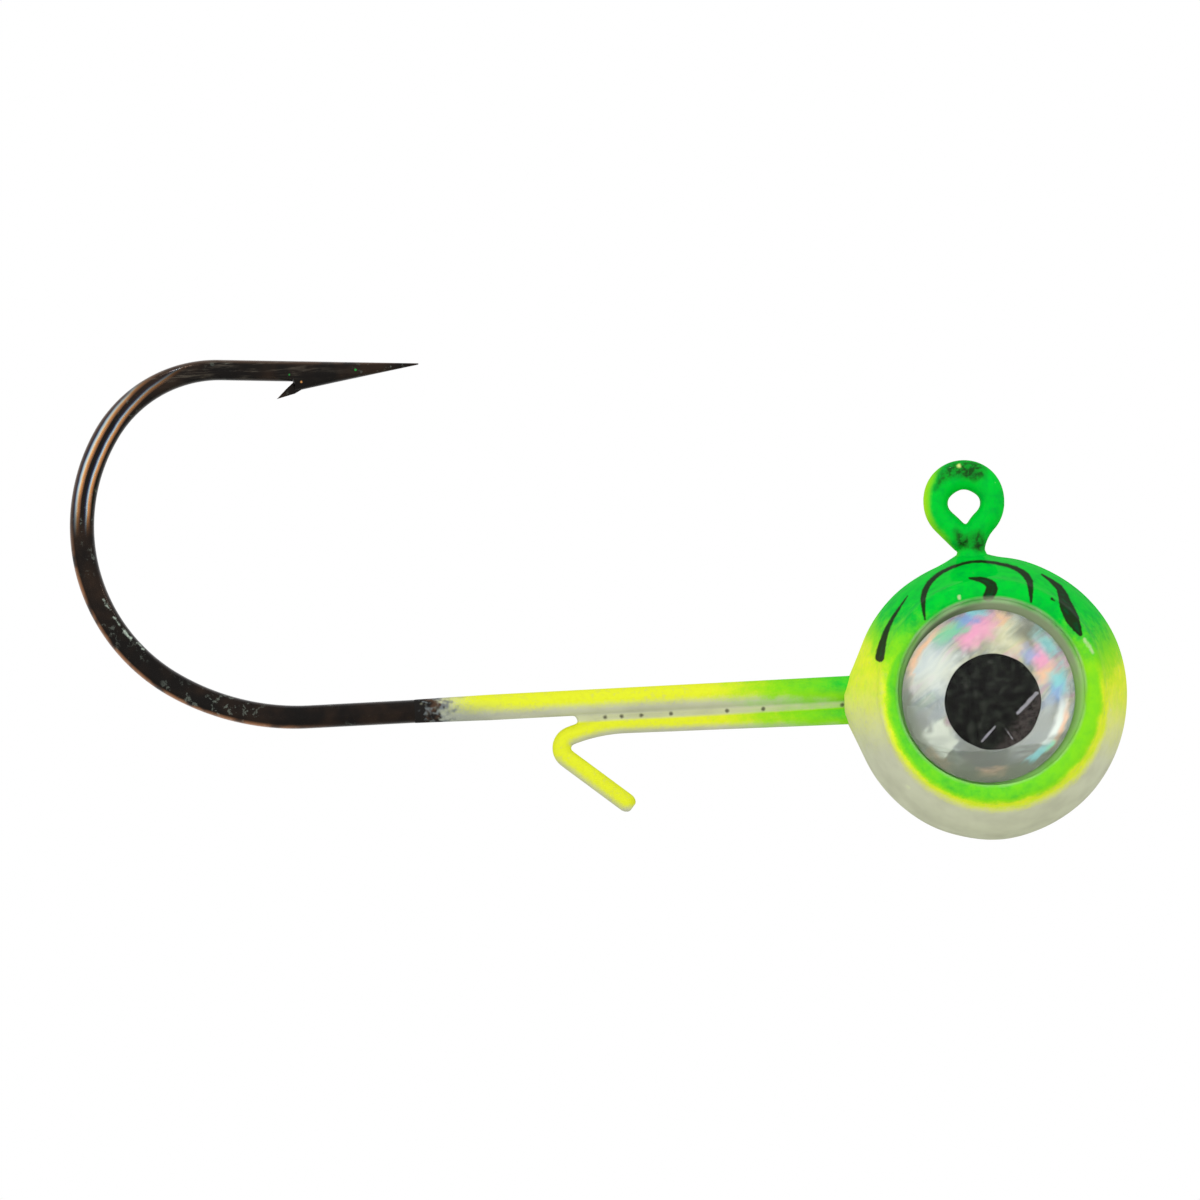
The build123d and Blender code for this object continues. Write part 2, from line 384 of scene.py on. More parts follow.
@dataclass
class Course:
    """A wire's centreline in the XZ plane, walked from a start with runs and bends."""

    x: float
    z: float
    heading: float
    step: float = 0.08
    stations: list[tuple[float, float, float]] = field(default_factory=list)

    def __post_init__(self) -> None:
        """Notes the start as the first station."""
        self.stations.append((self.x, self.z, self.heading))

    def run(self, length: float) -> "Course":
        """Walks straight on."""
        count = max(1, math.ceil(length / self.step))
        way = math.radians(self.heading)
        for _ in range(count):
            self.x += math.cos(way) * length / count
            self.z += math.sin(way) * length / count
            self.stations.append((self.x, self.z, self.heading))
        return self

    def bend(self, radius: float, turn: float) -> "Course":
        """Walks along an arc; a positive turn is anticlockwise."""
        count = max(2, math.ceil(math.radians(abs(turn)) * radius / self.step))
        side = math.copysign(1.0, turn)
        for _ in range(count):
            before = math.radians(self.heading)
            self.heading += turn / count
            after = math.radians(self.heading)
            self.x += side * radius * (math.sin(after) - math.sin(before))
            self.z += side * radius * (math.cos(before) - math.cos(after))
            self.stations.append((self.x, self.z, self.heading))
        return self

    def walked(self) -> np.ndarray:
        """The distance from the start to each station."""
        places = np.array([(x, z) for x, z, _ in self.stations])
        steps = np.linalg.norm(np.diff(places, axis=0), axis=1)
        return np.concatenate([[0.0], np.cumsum(steps)])


Section = Callable[[int, np.ndarray], tuple[np.ndarray, np.ndarray]]


def swept(course: Course, section: Section, sides: int = 40) -> Shape:
    """A wire along its course.

    Args:
        course: the wire's centreline.
        section: gives, for a station's number and the angles round the wire, how far the skin lies
            to the left of the heading, in the course's plane, and how far towards +Y.
        sides: count of points round the wire.

    Returns:
        The closed wire.
    """
    angles = ring_angles(sides)
    rows = []
    for number, (x, z, heading) in enumerate(course.stations):
        way = math.radians(heading)
        left, across = section(number, angles)
        rows.append(np.column_stack([x - math.sin(way) * left, across, z + math.cos(way) * left]))
    return Shape.lofted(rows)


def revolved(centre: Sequence[float], axis: Vector, profile: np.ndarray, sides: int) -> Shape:
    """A turned form.

    Args:
        centre: point on the axis.
        axis: direction of the axis.
        profile: rows of radius and height along the axis, from one end to the other.
        sides: count of points round the axis.

    Returns:
        The closed form.
    """
    turn = np.array(Vector((0, 0, 1)).rotation_difference(axis).to_matrix())
    angles = ring_angles(sides)
    rows = []
    for radius, height in profile:
        ring = [radius * np.cos(angles), radius * np.sin(angles), np.full(sides, height)]
        rows.append(np.column_stack(ring) @ turn.T + np.array(centre))
    return Shape.lofted(rows)


# ------------------------------------------------------------------------------------- shader tools
def sign(operation: str, swapped: bool = False) -> Callable[..., "Value"]:
    """What a sign does to a value: it places one Math node."""

    def place(value: "Value", *others: "Feed") -> "Value":
        """The Math node's result."""
        terms = (value, *others)
        return value.bench.math(operation, *(terms[::-1] if swapped else terms))

    return place


@dataclass(frozen=True)
class Value:
    """A node's result, on which arithmetic places more nodes."""

    bench: "Bench"
    socket: Socket

    __add__ = __radd__ = sign("ADD")
    __sub__, __rsub__ = sign("SUBTRACT"), sign("SUBTRACT", swapped=True)
    __mul__ = __rmul__ = sign("MULTIPLY")
    __truediv__ = sign("DIVIDE")
    __abs__ = sign("ABSOLUTE")

    def __neg__(self) -> "Value":
        """The value with its sign changed."""
        return self * -1.0


Feed = Value | Socket | Paint | float | Sequence[float]
Spot = tuple[float, float]


def in_plane(spot: Spot) -> tuple[float, float, float]:
    """A place in the XZ plane from its X and Z."""
    return spot[0], 0.0, spot[1]


class Bench:
    """Places nodes in one shader tree and links them."""

    def __init__(self, tree: bpy.types.NodeTree) -> None:
        """Takes the tree that the nodes go into."""
        self.tree = tree

    def feed(self, socket: Socket, value: Feed) -> None:
        """Links a socket to another, or sets its value."""
        if isinstance(value, Value):
            value = value.socket
        if isinstance(value, Socket):
            self.tree.links.new(value, socket)
        else:
            socket.default_value = value.value.linear if isinstance(value, Paint) else value

    def connect(self, node: bpy.types.Node, feeds: dict[str | int, Feed]) -> None:
        """Feeds a node's sockets, by their names or numbers."""
        for key, value in feeds.items():
            self.feed(node.inputs[key], value)

    def add(
        self, kind: str, feeds: dict[str | int, Feed] | None = None, **settings: object
    ) -> bpy.types.Node:
        """A new node, with its settings and what goes into its sockets."""
        made = self.tree.nodes.new("ShaderNode" + kind)
        for name, value in settings.items():
            setattr(made, name, value)
        self.connect(made, feeds or {})
        return made

    def read(
        self, kind: str, feeds: dict[str | int, Feed], output: str | int = 0, **settings: object
    ) -> Value:
        """The result of a new node."""
        return Value(self, self.add(kind, feeds, **settings).outputs[output])

    def math(self, operation: str, *values: Feed) -> Value:
        """A Math node's result."""
        return self.read("Math", dict(enumerate(values)), operation=operation)

    def most(self, first: Feed, second: Feed) -> Value:
        """The larger of two values."""
        return self.math("MAXIMUM", first, second)

    def least(self, first: Feed, second: Feed) -> Value:
        """The smaller of two values."""
        return self.math("MINIMUM", first, second)

    def direction(self, up: Feed, right: Feed) -> Value:
        """The angle of a way, in degrees anticlockwise from the right."""
        return self.math("ARCTAN2", up, right) * math.degrees(1.0)

    def vector(self, operation: str, *values: Feed) -> Value:
        """A Vector Math node's result: a value for a length, distance or dot product."""
        output = "Value" if operation in ("LENGTH", "DISTANCE", "DOT_PRODUCT") else 0
        return self.read("VectorMath", dict(enumerate(values)), output, operation=operation)

    def dot(self, first: Feed, second: Feed) -> Value:
        """How far one vector reaches along another, times the other's length."""
        return self.vector("DOT_PRODUCT", first, second)

    def apart(self, first: Feed, second: Feed) -> Value:
        """The distance between two places."""
        return self.vector("DISTANCE", first, second)

    def scaled(self, vector: Feed, factor: Feed) -> Value:
        """A vector times a value."""
        return self.read("VectorMath", {0: vector, "Scale": factor}, operation="SCALE")

    def rise(self, value: Feed, low: Feed, high: Feed) -> Value:
        """An S-shaped rise from 0 at low to 1 at high."""
        feeds = {"Value": value, "From Min": low, "From Max": high}
        return self.read("MapRange", feeds, "Result", interpolation_type="SMOOTHSTEP")

    def fall(self, value: Feed, low: Feed, high: Feed) -> Value:
        """An S-shaped fall from 1 at low to 0 at high."""
        return 1.0 - self.rise(value, low, high)

    def blend(self, share: Feed, low: Feed, high: Feed, mode: str = "MIX") -> Value:
        """One colour laid over another."""
        feeds = {0: share, 6: low, 7: high}
        return self.read("Mix", feeds, 2, data_type="RGBA", blend_type=mode, clamp_factor=True)

    def between(self, share: Feed, low: Feed, high: Feed) -> Value:
        """A value between two others."""
        return self.read("Mix", {0: share, 2: low, 3: high}, data_type="FLOAT")

    def noise(self, place: Feed, scale: Feed, detail: float = 2.0, rough: float = 0.5) -> Value:
        """A noise value from 0 to 1; scale is in lumps per millimetre."""
        feeds = {"Vector": place, "Scale": scale, "Detail": detail, "Roughness": rough}
        return self.read("TexNoise", feeds)

    def speck(self, flat: Feed, spot: Spot, low: float, high: float, ragged: Value) -> Value:
        """A round speck, 1 within the lower radius and 0 past the higher, with a ragged edge."""
        return self.fall(ragged + self.apart(flat, in_plane(spot)), low, high)

    def ramp(self, value: Feed, stops: Sequence[tuple[float, Paint]]) -> Value:
        """A colour read from a row of paints at places from 0 to 1."""
        made = self.add("ValToRGB", {0: value})
        elements = made.color_ramp.elements
        for index, (spot, paint) in enumerate(stops):
            element = elements[index] if index < 2 else elements.new(spot)
            element.position, element.color = spot, paint.value.linear
        return Value(self, made.outputs[0])

    def place(self) -> Value:
        """The place on the piece, in millimetres."""
        return self.scaled(self.add("TexCoord").outputs["Object"], 1 / MM)

    def parts(self, vector: Feed) -> tuple[Value, ...]:
        """The X, Y and Z of a vector."""
        made = self.add("SeparateXYZ", {0: vector})
        return tuple(Value(self, socket) for socket in made.outputs)

    def joined(self, x: Feed, y: Feed, z: Feed) -> Value:
        """A vector from its X, Y and Z."""
        return self.read("CombineXYZ", {0: x, 1: y, 2: z})

    def group(self, tree: bpy.types.NodeTree, **feeds: Feed) -> Value:
        """A shared effect's result; a feed's name is the input's, in lower case."""
        titled = {name.replace("_", " ").title(): value for name, value in feeds.items()}
        return self.read("Group", titled, node_tree=tree)

    def relief(self, height: Feed, depth: float) -> Value:
        """A normal bent by a height from 0 to 1, whose full depth is in millimetres."""
        feeds = {"Strength": 1.0, "Distance": depth * MM, "Height": height}
        return self.read("Bump", feeds, "Normal")


def effect(
    name: str,
    inputs: dict[str, float | tuple[float, ...]],
    output: str,
    draw: Callable[[Bench, dict[str, Value]], Value],
) -> bpy.types.NodeTree:
    """A shader node group with named inputs and one named output.

    Args:
        name: name of the group.
        inputs: each input's name and its value where nothing is linked.
        output: the output's name; it is a colour if the name holds the word Colour.
        draw: makes the nodes from the inputs and returns what feeds the output.

    Returns:
        The group.
    """
    tree = bpy.data.node_groups.new(name, "ShaderNodeTree")
    for title, value in inputs.items():
        if isinstance(value, tuple):
            kind = "NodeSocketColor" if len(value) == 4 else "NodeSocketVector"
        else:
            kind = "NodeSocketFloat"
        entered = tree.interface.new_socket(name=title, in_out="INPUT", socket_type=kind)
        entered.default_value = value
    kind = "NodeSocketColor" if "Colour" in output else "NodeSocketFloat"
    tree.interface.new_socket(name=output, in_out="OUTPUT", socket_type=kind)
    bench = Bench(tree)
    entry, leave = tree.nodes.new("NodeGroupInput"), tree.nodes.new("NodeGroupOutput")
    given = {title: Value(bench, entry.outputs[title]) for title in inputs}
    bench.feed(leave.inputs[output], draw(bench, given))
    return tree


def draw_spray_edge(bench: Bench, given: dict[str, Value]) -> Value:
    """A sprayed boundary: full inside, none outside, and breaking into specks between."""
    half = given["Softness"] * 0.5
    drift = bench.noise(given["Place"], 2.2) - 0.5
    specks = bench.noise(given["Place"], given["Grain"], 1.0) - 0.5
    inside = drift * given["Drift"] + given["Distance"]
    inside = specks * given["Specks"] + inside
    return bench.rise(inside, -half, half)


def draw_spray_layers(bench: Bench, given: dict[str, Value]) -> Value:
    """Primer under yellow under green, each with the mottle of a thin sprayed layer."""
    fine = bench.noise(given["Place"], 7.0, 3.0, 0.6)
    broad = bench.noise(given["Place"], 1.1, 2.0)
    primer = bench.blend(bench.rise(broad, 0.3, 0.8), Paint.PRIMER, Paint.PRIMER_DULL)
    mottle = bench.rise(fine, 0.5, 0.8) * bench.rise(broad, 0.35, 0.6)
    cover = given["Yellow"] - mottle * 0.3
    deep = bench.rise(fine, 0.4, 0.7) * 0.4
    yellow = bench.blend(deep, Paint.YELLOW, Paint.YELLOW_DEEP)
    under = bench.blend(cover, primer, yellow)
    drift = bench.noise(given["Place"], 2.6, 3.0, 0.6) - 0.5
    green = drift * 0.3 + given["Green"]
    green = green * bench.rise(given["Green"], 0.02, 0.12)
    lime = bench.blend(bench.rise(green, 0.0, 0.5), under, Paint.LIME)
    top = bench.rise(fine * 0.12 + green, 0.46, 1.02)
    shaded = bench.rise(drift, -0.12, 0.25) * 0.6
    full = bench.blend(shaded, Paint.GREEN, Paint.GREEN_DEEP)
    return bench.blend(top, lime, full)


def draw_coat_relief(bench: Bench, given: dict[str, Value]) -> Value:
    """The slow waves and the fine grain of a dipped and sprayed coat."""
    waves = bench.noise(given["Place"], 1.4, 1.0)
    peel = bench.noise(given["Place"], 5.5, 2.0)
    grain = bench.noise(given["Place"], 24.0, 2.0)
    height = peel * given["Peel"] + waves
    return grain * given["Grain"] + height


def draw_brush_dab(bench: Bench, given: dict[str, Value]) -> Value:
    """How far a place lies inside a brush stroke between two points, which tapers along its way."""
    along = bench.vector("SUBTRACT", given["End"], given["Start"])
    reach = bench.vector("SUBTRACT", given["Place"], given["Start"])
    length = bench.most(bench.dot(along, along), 0.0001)
    share = bench.dot(reach, along) / length
    share = bench.least(bench.most(share, 0.0), 1.0)
    nearest = bench.vector("ADD", given["Start"], bench.scaled(along, share))
    width = bench.between(share, given["Start Width"], given["End Width"])
    return width - bench.apart(given["Place"], nearest)


def draw_scuffs(bench: Bench, given: dict[str, Value]) -> Value:
    """Fine scratches and dust: broken hairlines plus small specks."""
    bent = bench.vector("MULTIPLY_ADD", given["Place"], given["Stretch"], (3.1, 1.7, 5.3))
    cells = bench.read(
        "TexVoronoi", {"Vector": bent, "Scale": 1.0}, "Distance", feature="DISTANCE_TO_EDGE"
    )
    hair = bench.fall(cells, 0.004, 0.03)
    broken = bench.rise(bench.noise(given["Place"], 1.7), 0.5, 0.66)
    dust = bench.rise(bench.noise(given["Place"], 14.0, 1.0), 0.7, 0.78)
    marks = bench.most(hair * broken, dust)
    return marks * given["Amount"]


def draw_glint(bench: Bench, given: dict[str, Value]) -> Value:
    """A soft-edged patch in the angle and radius round an eye's centre."""
    turn = given["Angle"] - given["Middle"]
    turn = bench.math("WRAP", turn, 180.0, -180.0)
    across = abs(turn) / given["Half Turn"]
    depth = abs(given["Radius"] - given["Out"])
    reach = bench.most(across, depth / given["Half Depth"])
    inner = 1.0 - given["Softness"]
    outer = 1.0 + given["Softness"]
    return bench.rise(-reach, -outer, -inner) * given["Strength"]


HERE = (0.0, 0.0, 0.0)
SPRAY_EDGE = effect(
    "spray edge",
    {"Place": HERE, "Distance": 0.0, "Softness": 0.3, "Drift": 0.2, "Specks": 0.1, "Grain": 16.0},
    "Mask",
    draw_spray_edge,
)
SPRAY_LAYERS = effect(
    "spray layers", {"Place": HERE, "Yellow": 1.0, "Green": 0.0}, "Colour", draw_spray_layers
)
COAT_RELIEF = effect(
    "coat relief", {"Place": HERE, "Peel": 0.25, "Grain": 0.04}, "Height", draw_coat_relief
)
BRUSH_DAB = effect(
    "brush dab",
    {"Place": HERE, "Start": HERE, "End": HERE, "Start Width": 0.05, "End Width": 0.05},
    "Depth",
    draw_brush_dab,
)
SCUFFS = effect(
    "scuffs", {"Place": HERE, "Stretch": (1.0, 1.0, 1.0), "Amount": 1.0}, "Mask", draw_scuffs
)
GLINT = effect(
    "glint",
    {
        "Angle": 0.0,
        "Radius": 0.0,
        "Middle": 0.0,
        "Out": 2.0,
        "Half Turn": 10.0,
        "Half Depth": 0.4,
        "Softness": 0.3,
        "Strength": 1.0,
    },
    "Mask",
    draw_glint,
)


# ------------------------------------------------------------------------------------- finishes
@dataclass(frozen=True)
class Finish:
    """A material built round one Principled shader."""

    name: str

    def make(self) -> bpy.types.Material:
        """Builds the material.

        Returns:
            The new material.
        """
        made = bpy.data.materials.new(self.name)
        made.use_nodes = True
        made.node_tree.nodes.clear()
        bench = Bench(made.node_tree)
        shader = bench.add("BsdfPrincipled")
        bench.add("OutputMaterial", {"Surface": self.dress(bench, shader)})
        return made

    def dress(self, bench: Bench, shader: bpy.types.Node) -> Feed:
        """Feeds the shader.

        Args:
            bench: where the nodes go.
            shader: the Principled shader.

        Returns:
            What goes to the surface.
        """
        raise NotImplementedError


@dataclass(frozen=True)
class Stroke:
    """A brush stroke of stripe ink: points as X, Z and half width, from its thin end."""

    points: tuple[tuple[float, float, float], ...]

    def smoothed(self) -> list[tuple[float, float, float]]:
        """The points with one more between each two, on a curve through all of them."""
        spots = np.array([self.points[0], *self.points, self.points[-1]])
        smooth = []
        for before, start, end, after in zip(spots, spots[1:], spots[2:], spots[3:]):
            smooth += [start, (9 * (start + end) - before - after) / 16]
        return [tuple(map(float, spot)) for spot in (*smooth, spots[-1])]

    def depth(self, bench: Bench, flat: Value, centre: Spot) -> Value:
        """How far a place lies inside the stroke.

        Args:
            bench: where the nodes go.
            flat: the place, with its Y put to zero.
            centre: X and Z that the stroke's points are measured from.

        Returns:
            The depth: above zero inside.
        """
        deepest: Feed = -1.0
        spots = self.smoothed() if len(self.points) > 2 else self.points
        for (x, z, width), (next_x, next_z, next_width) in zip(spots, spots[1:]):
            dab = bench.group(
                BRUSH_DAB,
                place=flat,
                start=(centre[0] + x, 0.0, centre[1] + z),
                end=(centre[0] + next_x, 0.0, centre[1] + next_z),
                start_width=width,
                end_width=next_width,
            )
            deepest = bench.most(deepest, dab)
        return deepest


def deepest_of(strokes: Sequence[Stroke], bench: Bench, flat: Value, centre: Spot) -> Value:
    """How far a place lies inside the nearest of several strokes."""
    deepest: Feed = -1.0
    for stroke in strokes:
        deepest = bench.most(deepest, stroke.depth(bench, flat, centre))
    return deepest


@dataclass(frozen=True)
class Spray:
    """How the edge of one sprayed layer goes over into the next."""

    softness: float
    drift: float
    specks: float
    grain: float = 16.0

    def edge(self, bench: Bench, place: Value, distance: Value) -> Value:
        """The layer's cover, from how far a place lies inside its boundary."""
        return bench.group(SPRAY_EDGE, place=place, distance=distance, **vars(self))


TOP_YELLOW = Spray(3.0, 0.6, 0.3)
TOP_GREEN = Spray(4.4, 0.9, 0.4)
RIM_YELLOW = Spray(0.3, 0.16, 0.1)
RIM_GREEN = Spray(0.32, 0.2, 0.08)
WIRE_YELLOW = Spray(0.85, 0.25, 0.3)
WIRE_GREEN = Spray(7.4, 1.1, 0.8)
YELLOW_START = Spray(1.4, 0.3, 0.9)
COAT_START = Spray(0.9, 0.8, 2.0, 5.0)
COAT_DUST = Spray(0.5, 1.2, 1.6, 6.0)


@dataclass(frozen=True)
class Enamel(Finish):
    """Sprayed enamel with a clear coat over it; the two kinds say where each colour lies."""

    roughness: float = 0.35
    gloss: float = 0.07
    relief_depth: float = 0.02

    def layers(self, bench: Bench, place: Value) -> Value:
        """The colour of the paint at a place."""
        raise NotImplementedError

    def dress(self, bench: Bench, shader: bpy.types.Node) -> Feed:
        """Feeds the shader with the layers, the coat's relief and small marks."""
        place = bench.place()
        uneven = bench.noise(place, 3.0, 2.0)
        feeds = {
            "Base Color": self.layers(bench, place),
            "Roughness": bench.between(uneven, self.roughness * 0.7, self.roughness * 1.5),
            "Specular IOR Level": 0.0,
            "Coat Weight": self.gloss,
            "Coat Roughness": 0.07,
            "Normal": bench.relief(bench.group(COAT_RELIEF, place=place), self.relief_depth),
        }
        bench.connect(shader, feeds)
        return shader.outputs[0]


@dataclass(frozen=True)
class HeadEnamel(Enamel):
    """Enamel of the ball: green on top and round the eyes, yellow, and a bare primer belly."""

    ball: Spot = (0.0, 0.0)
    socket: Spot = (0.0, 0.0)
    bore_r: float = 2.83
    yellow_down: float = 0.65
    yellow_out: float = 0.68
    green_up: float = 1.2
    green_out: float = 0.45
    strokes: tuple[Stroke, ...] = ()
    chips: tuple[Stroke, ...] = ()

    def layers(self, bench: Bench, place: Value) -> Value:
        """The colour of the paint at a place."""
        x, _, z = bench.parts(place)
        flat = bench.joined(x, 0.0, z)
        out = bench.apart(flat, in_plane(self.socket))
        from_eye = bench.vector("SUBTRACT", flat, in_plane(self.socket))
        from_ball = bench.vector("SUBTRACT", flat, in_plane(self.ball))
        upward = bench.dot(from_ball, (0.1, 0.0, 1.0))
        # yellow: the upper part of the ball, and a band round each rim, sprayed a little off centre
        upper = TOP_YELLOW.edge(bench, place, upward + self.yellow_down)
        sprayed = bench.apart(from_eye, (0.13, 0.0, -0.08))
        rim = RIM_YELLOW.edge(bench, place, self.bore_r + self.yellow_out - sprayed)
        yellow = bench.most(upper, rim)
        # green: the top of the ball, and a thinner mist close to each eye
        forward = bench.parts(from_ball)[0]
        rear = bench.most(-3.1 - forward, 0.0)
        front = bench.most(forward - 3.4, 0.0)
        top = upward - self.green_up - front * 1.3 - rear * 2.2
        top = TOP_GREEN.edge(bench, place, top)
        misted = bench.apart(from_eye, (0.09, 0.0, -0.09))
        mist = RIM_GREEN.edge(bench, place, self.bore_r + self.green_out - misted)
        rearward = bench.fall(bench.dot(from_ball, (0.8, 0.0, 0.6)), -2.6, 2.6)
        mist = mist * bench.between(rearward, 0.5, 0.68)
        green = bench.most(bench.most(top, mist), yellow * 0.14)
        colour = bench.group(SPRAY_LAYERS, place=place, yellow=yellow, green=green)
        # stripes, thinner in the middle of a dab than along its edge
        ragged = bench.noise(place, 9.0, 3.0) - 0.5
        depth = ragged * 0.05 + deepest_of(self.strokes, bench, flat, self.ball)
        thin = bench.rise(depth, 0.06, 0.13) * bench.rise(bench.noise(place, 4.0), 0.4, 0.7)
        ink = bench.blend(thin, Paint.STRIPE, Paint.STRIPE_THIN)
        colour = bench.blend(bench.rise(depth, -0.02, 0.03) * 0.97, colour, ink)
        # nicks and specks where the primer shows, and painted highlights on the rim's crest
        nick_and_glint = ragged * 0.1 + deepest_of(self.chips, bench, flat, self.ball)
        broken = bench.rise(bench.noise(place, 2.6), 0.36, 0.6) * 0.62
        colour = bench.blend(bench.rise(nick_and_glint, -0.05, 0.03) * broken, colour, Paint.CHIP)
        # inside the socket, primer painted darker as painted shade in the recess: fully above, and
        # less below, where green stays; the lip is paler
        above = bench.rise(bench.dot(from_eye, (0.17, 0.0, 0.98)), 0.2, 1.5)
        inside = bench.fall(out, self.bore_r - 0.17, self.bore_r + 0.01)
        inside = inside * bench.between(above, 0.6, 1.0)
        colour = bench.blend(inside, colour, Paint.SOCKET)
        # the lip is paler: thin, worn paint together with a painted highlight along its crest, most
        # on top
        lip = bench.fall(abs(out - (self.bore_r - 0.03)), 0.03, 0.15)
        lip_wear_and_sheen = lip * bench.rise(bench.noise(place, 1.3), 0.2, 0.6) * bench.between(above, 0.3, 0.6)
        colour = bench.blend(lip_wear_and_sheen, colour, Paint.LIP)
        # painted shade: a dark line in the socket's floor at its upper left, next to the foil
        shade = bench.rise(bench.dot(from_eye, (-0.74, 0.0, 0.67)), 1.7, 2.5)
        shade = shade * bench.fall(out, self.bore_r - 0.2, self.bore_r - 0.07)
        return bench.blend(shade * 0.6, colour, Paint.SOCKET_DIRT)


@dataclass(frozen=True)
class WireEnamel(Enamel):
    """Enamel of the wires: yellow above, primer below, green at the ball, and a speckled end."""

    shank_z: float = 0.0
    web_z: float = 0.0
    web_half: float = 0.11
    head_back: float = 0.0
    fade_x: float = 0.0
    web_end: float = 0.0
    green_back: float = 2.0
    yellow_start: float = 0.9
    coat_start: float = 0.62
    dust_start: float = 0.32
    bead: Spot = (-0.09, 1.12)
    pinholes: tuple[float, ...] = ()
    smudges: tuple[Stroke, ...] = ()

    def layers(self, bench: Bench, place: Value) -> Value:
        """The colour of the paint at a place."""
        x, _, z = bench.parts(place)
        flat = bench.joined(x, 0.0, z)
        across, _, upward = bench.parts(bench.add("NewGeometry").outputs["Normal"])
        on_ring = bench.rise(z, self.shank_z + 2.5, self.shank_z + 3.2)
        # yellow from above; the keeper hangs lower and is reached from the sides too
        low_wire = bench.fall(z, self.web_z - 0.12, self.web_z - 0.02)
        lit = low_wire * 0.26 + upward
        yellow = WIRE_YELLOW.edge(bench, place, lit + 0.26)
        web = self.web_half - abs(z - self.web_z)
        web = bench.rise(web, -0.05, 0.06) * bench.rise(x, self.web_end - 0.2, self.web_end + 0.3)
        yellow = yellow * (1.0 - web * 0.86)
        started = YELLOW_START.edge(bench, place, x - (self.fade_x + self.yellow_start))
        yellow = bench.most(yellow, on_ring) * started
        # green drifts back along the wires from the ball, and covers the ring
        green = WIRE_GREEN.edge(bench, place, x - (self.head_back - self.green_back))
        green = green * bench.between(bench.rise(lit, -0.9, 0.4), 0.5, 0.96)
        green = green * (1.0 - web * 0.7) * (1.0 - low_wire * 0.12)
        edge = bench.fall(across, -0.98, -0.15) * bench.fall(x, -0.8, 0.0)
        green = bench.between(on_ring, green, 1.0 - edge * 0.66)
        colour = bench.group(SPRAY_LAYERS, place=place, yellow=yellow, green=green)
        dulled = (1.0 - green) * (1.0 - web * 0.8)
        colour = bench.blend(dulled, colour, Paint.WIRE_DULL, "MULTIPLY")
        # overspray of stripe ink on the ring and the neck, and a painted highlight on top of the
        # ring
        broken = bench.between(bench.rise(bench.noise(place, 7.0, 3.0, 0.6), 0.4, 0.62), 0.55, 1.0)
        for smudge in self.smudges:
            soft = bench.rise(smudge.depth(bench, flat, (0.0, 0.0)), -0.16, 0.16)
            colour = bench.blend(soft * broken * 0.86, colour, Paint.STRIPE)
        bead = bench.speck(flat, self.bead, 0.05, 0.15, bench.noise(place, 6.0) * 0.1)
        colour = bench.blend(bead * 0.85, colour, Paint.BEAD)
        # pinholes where the film bridges the two wires
        ragged = bench.noise(place, 9.0) * 0.05
        for spot in self.pinholes:
            hole = bench.speck(flat, (spot, self.web_z), 0.045, 0.12, ragged)
            colour = bench.blend(hole * 0.8, colour, Paint.PINHOLE)
        # the coat is thin near its end, and ends in specks over the bare wire
        thin = bench.fall(x, self.fade_x + 0.6, self.fade_x + 3.0) * bench.fall(upward, -0.1, 0.75)
        colour = bench.blend(thin * 0.5, colour, Paint.THIN_COAT)
        coated = COAT_START.edge(bench, place, x - (self.fade_x + self.coat_start))
        dusted = COAT_DUST.edge(bench, place, x - (self.fade_x + self.dust_start)) * 0.7
        bronze = bench.rise(bench.noise(place, 2.6), 0.45, 0.7)
        bronze = bronze * bench.rise(x, self.fade_x - 0.2, self.fade_x) * 0.7
        bare = bench.blend(bronze, Paint.NICKEL, Paint.NICKEL_BRONZE)
        bare = bench.blend(dusted, bare, Paint.THIN_COAT)
        return bench.blend(coated, bare, colour)


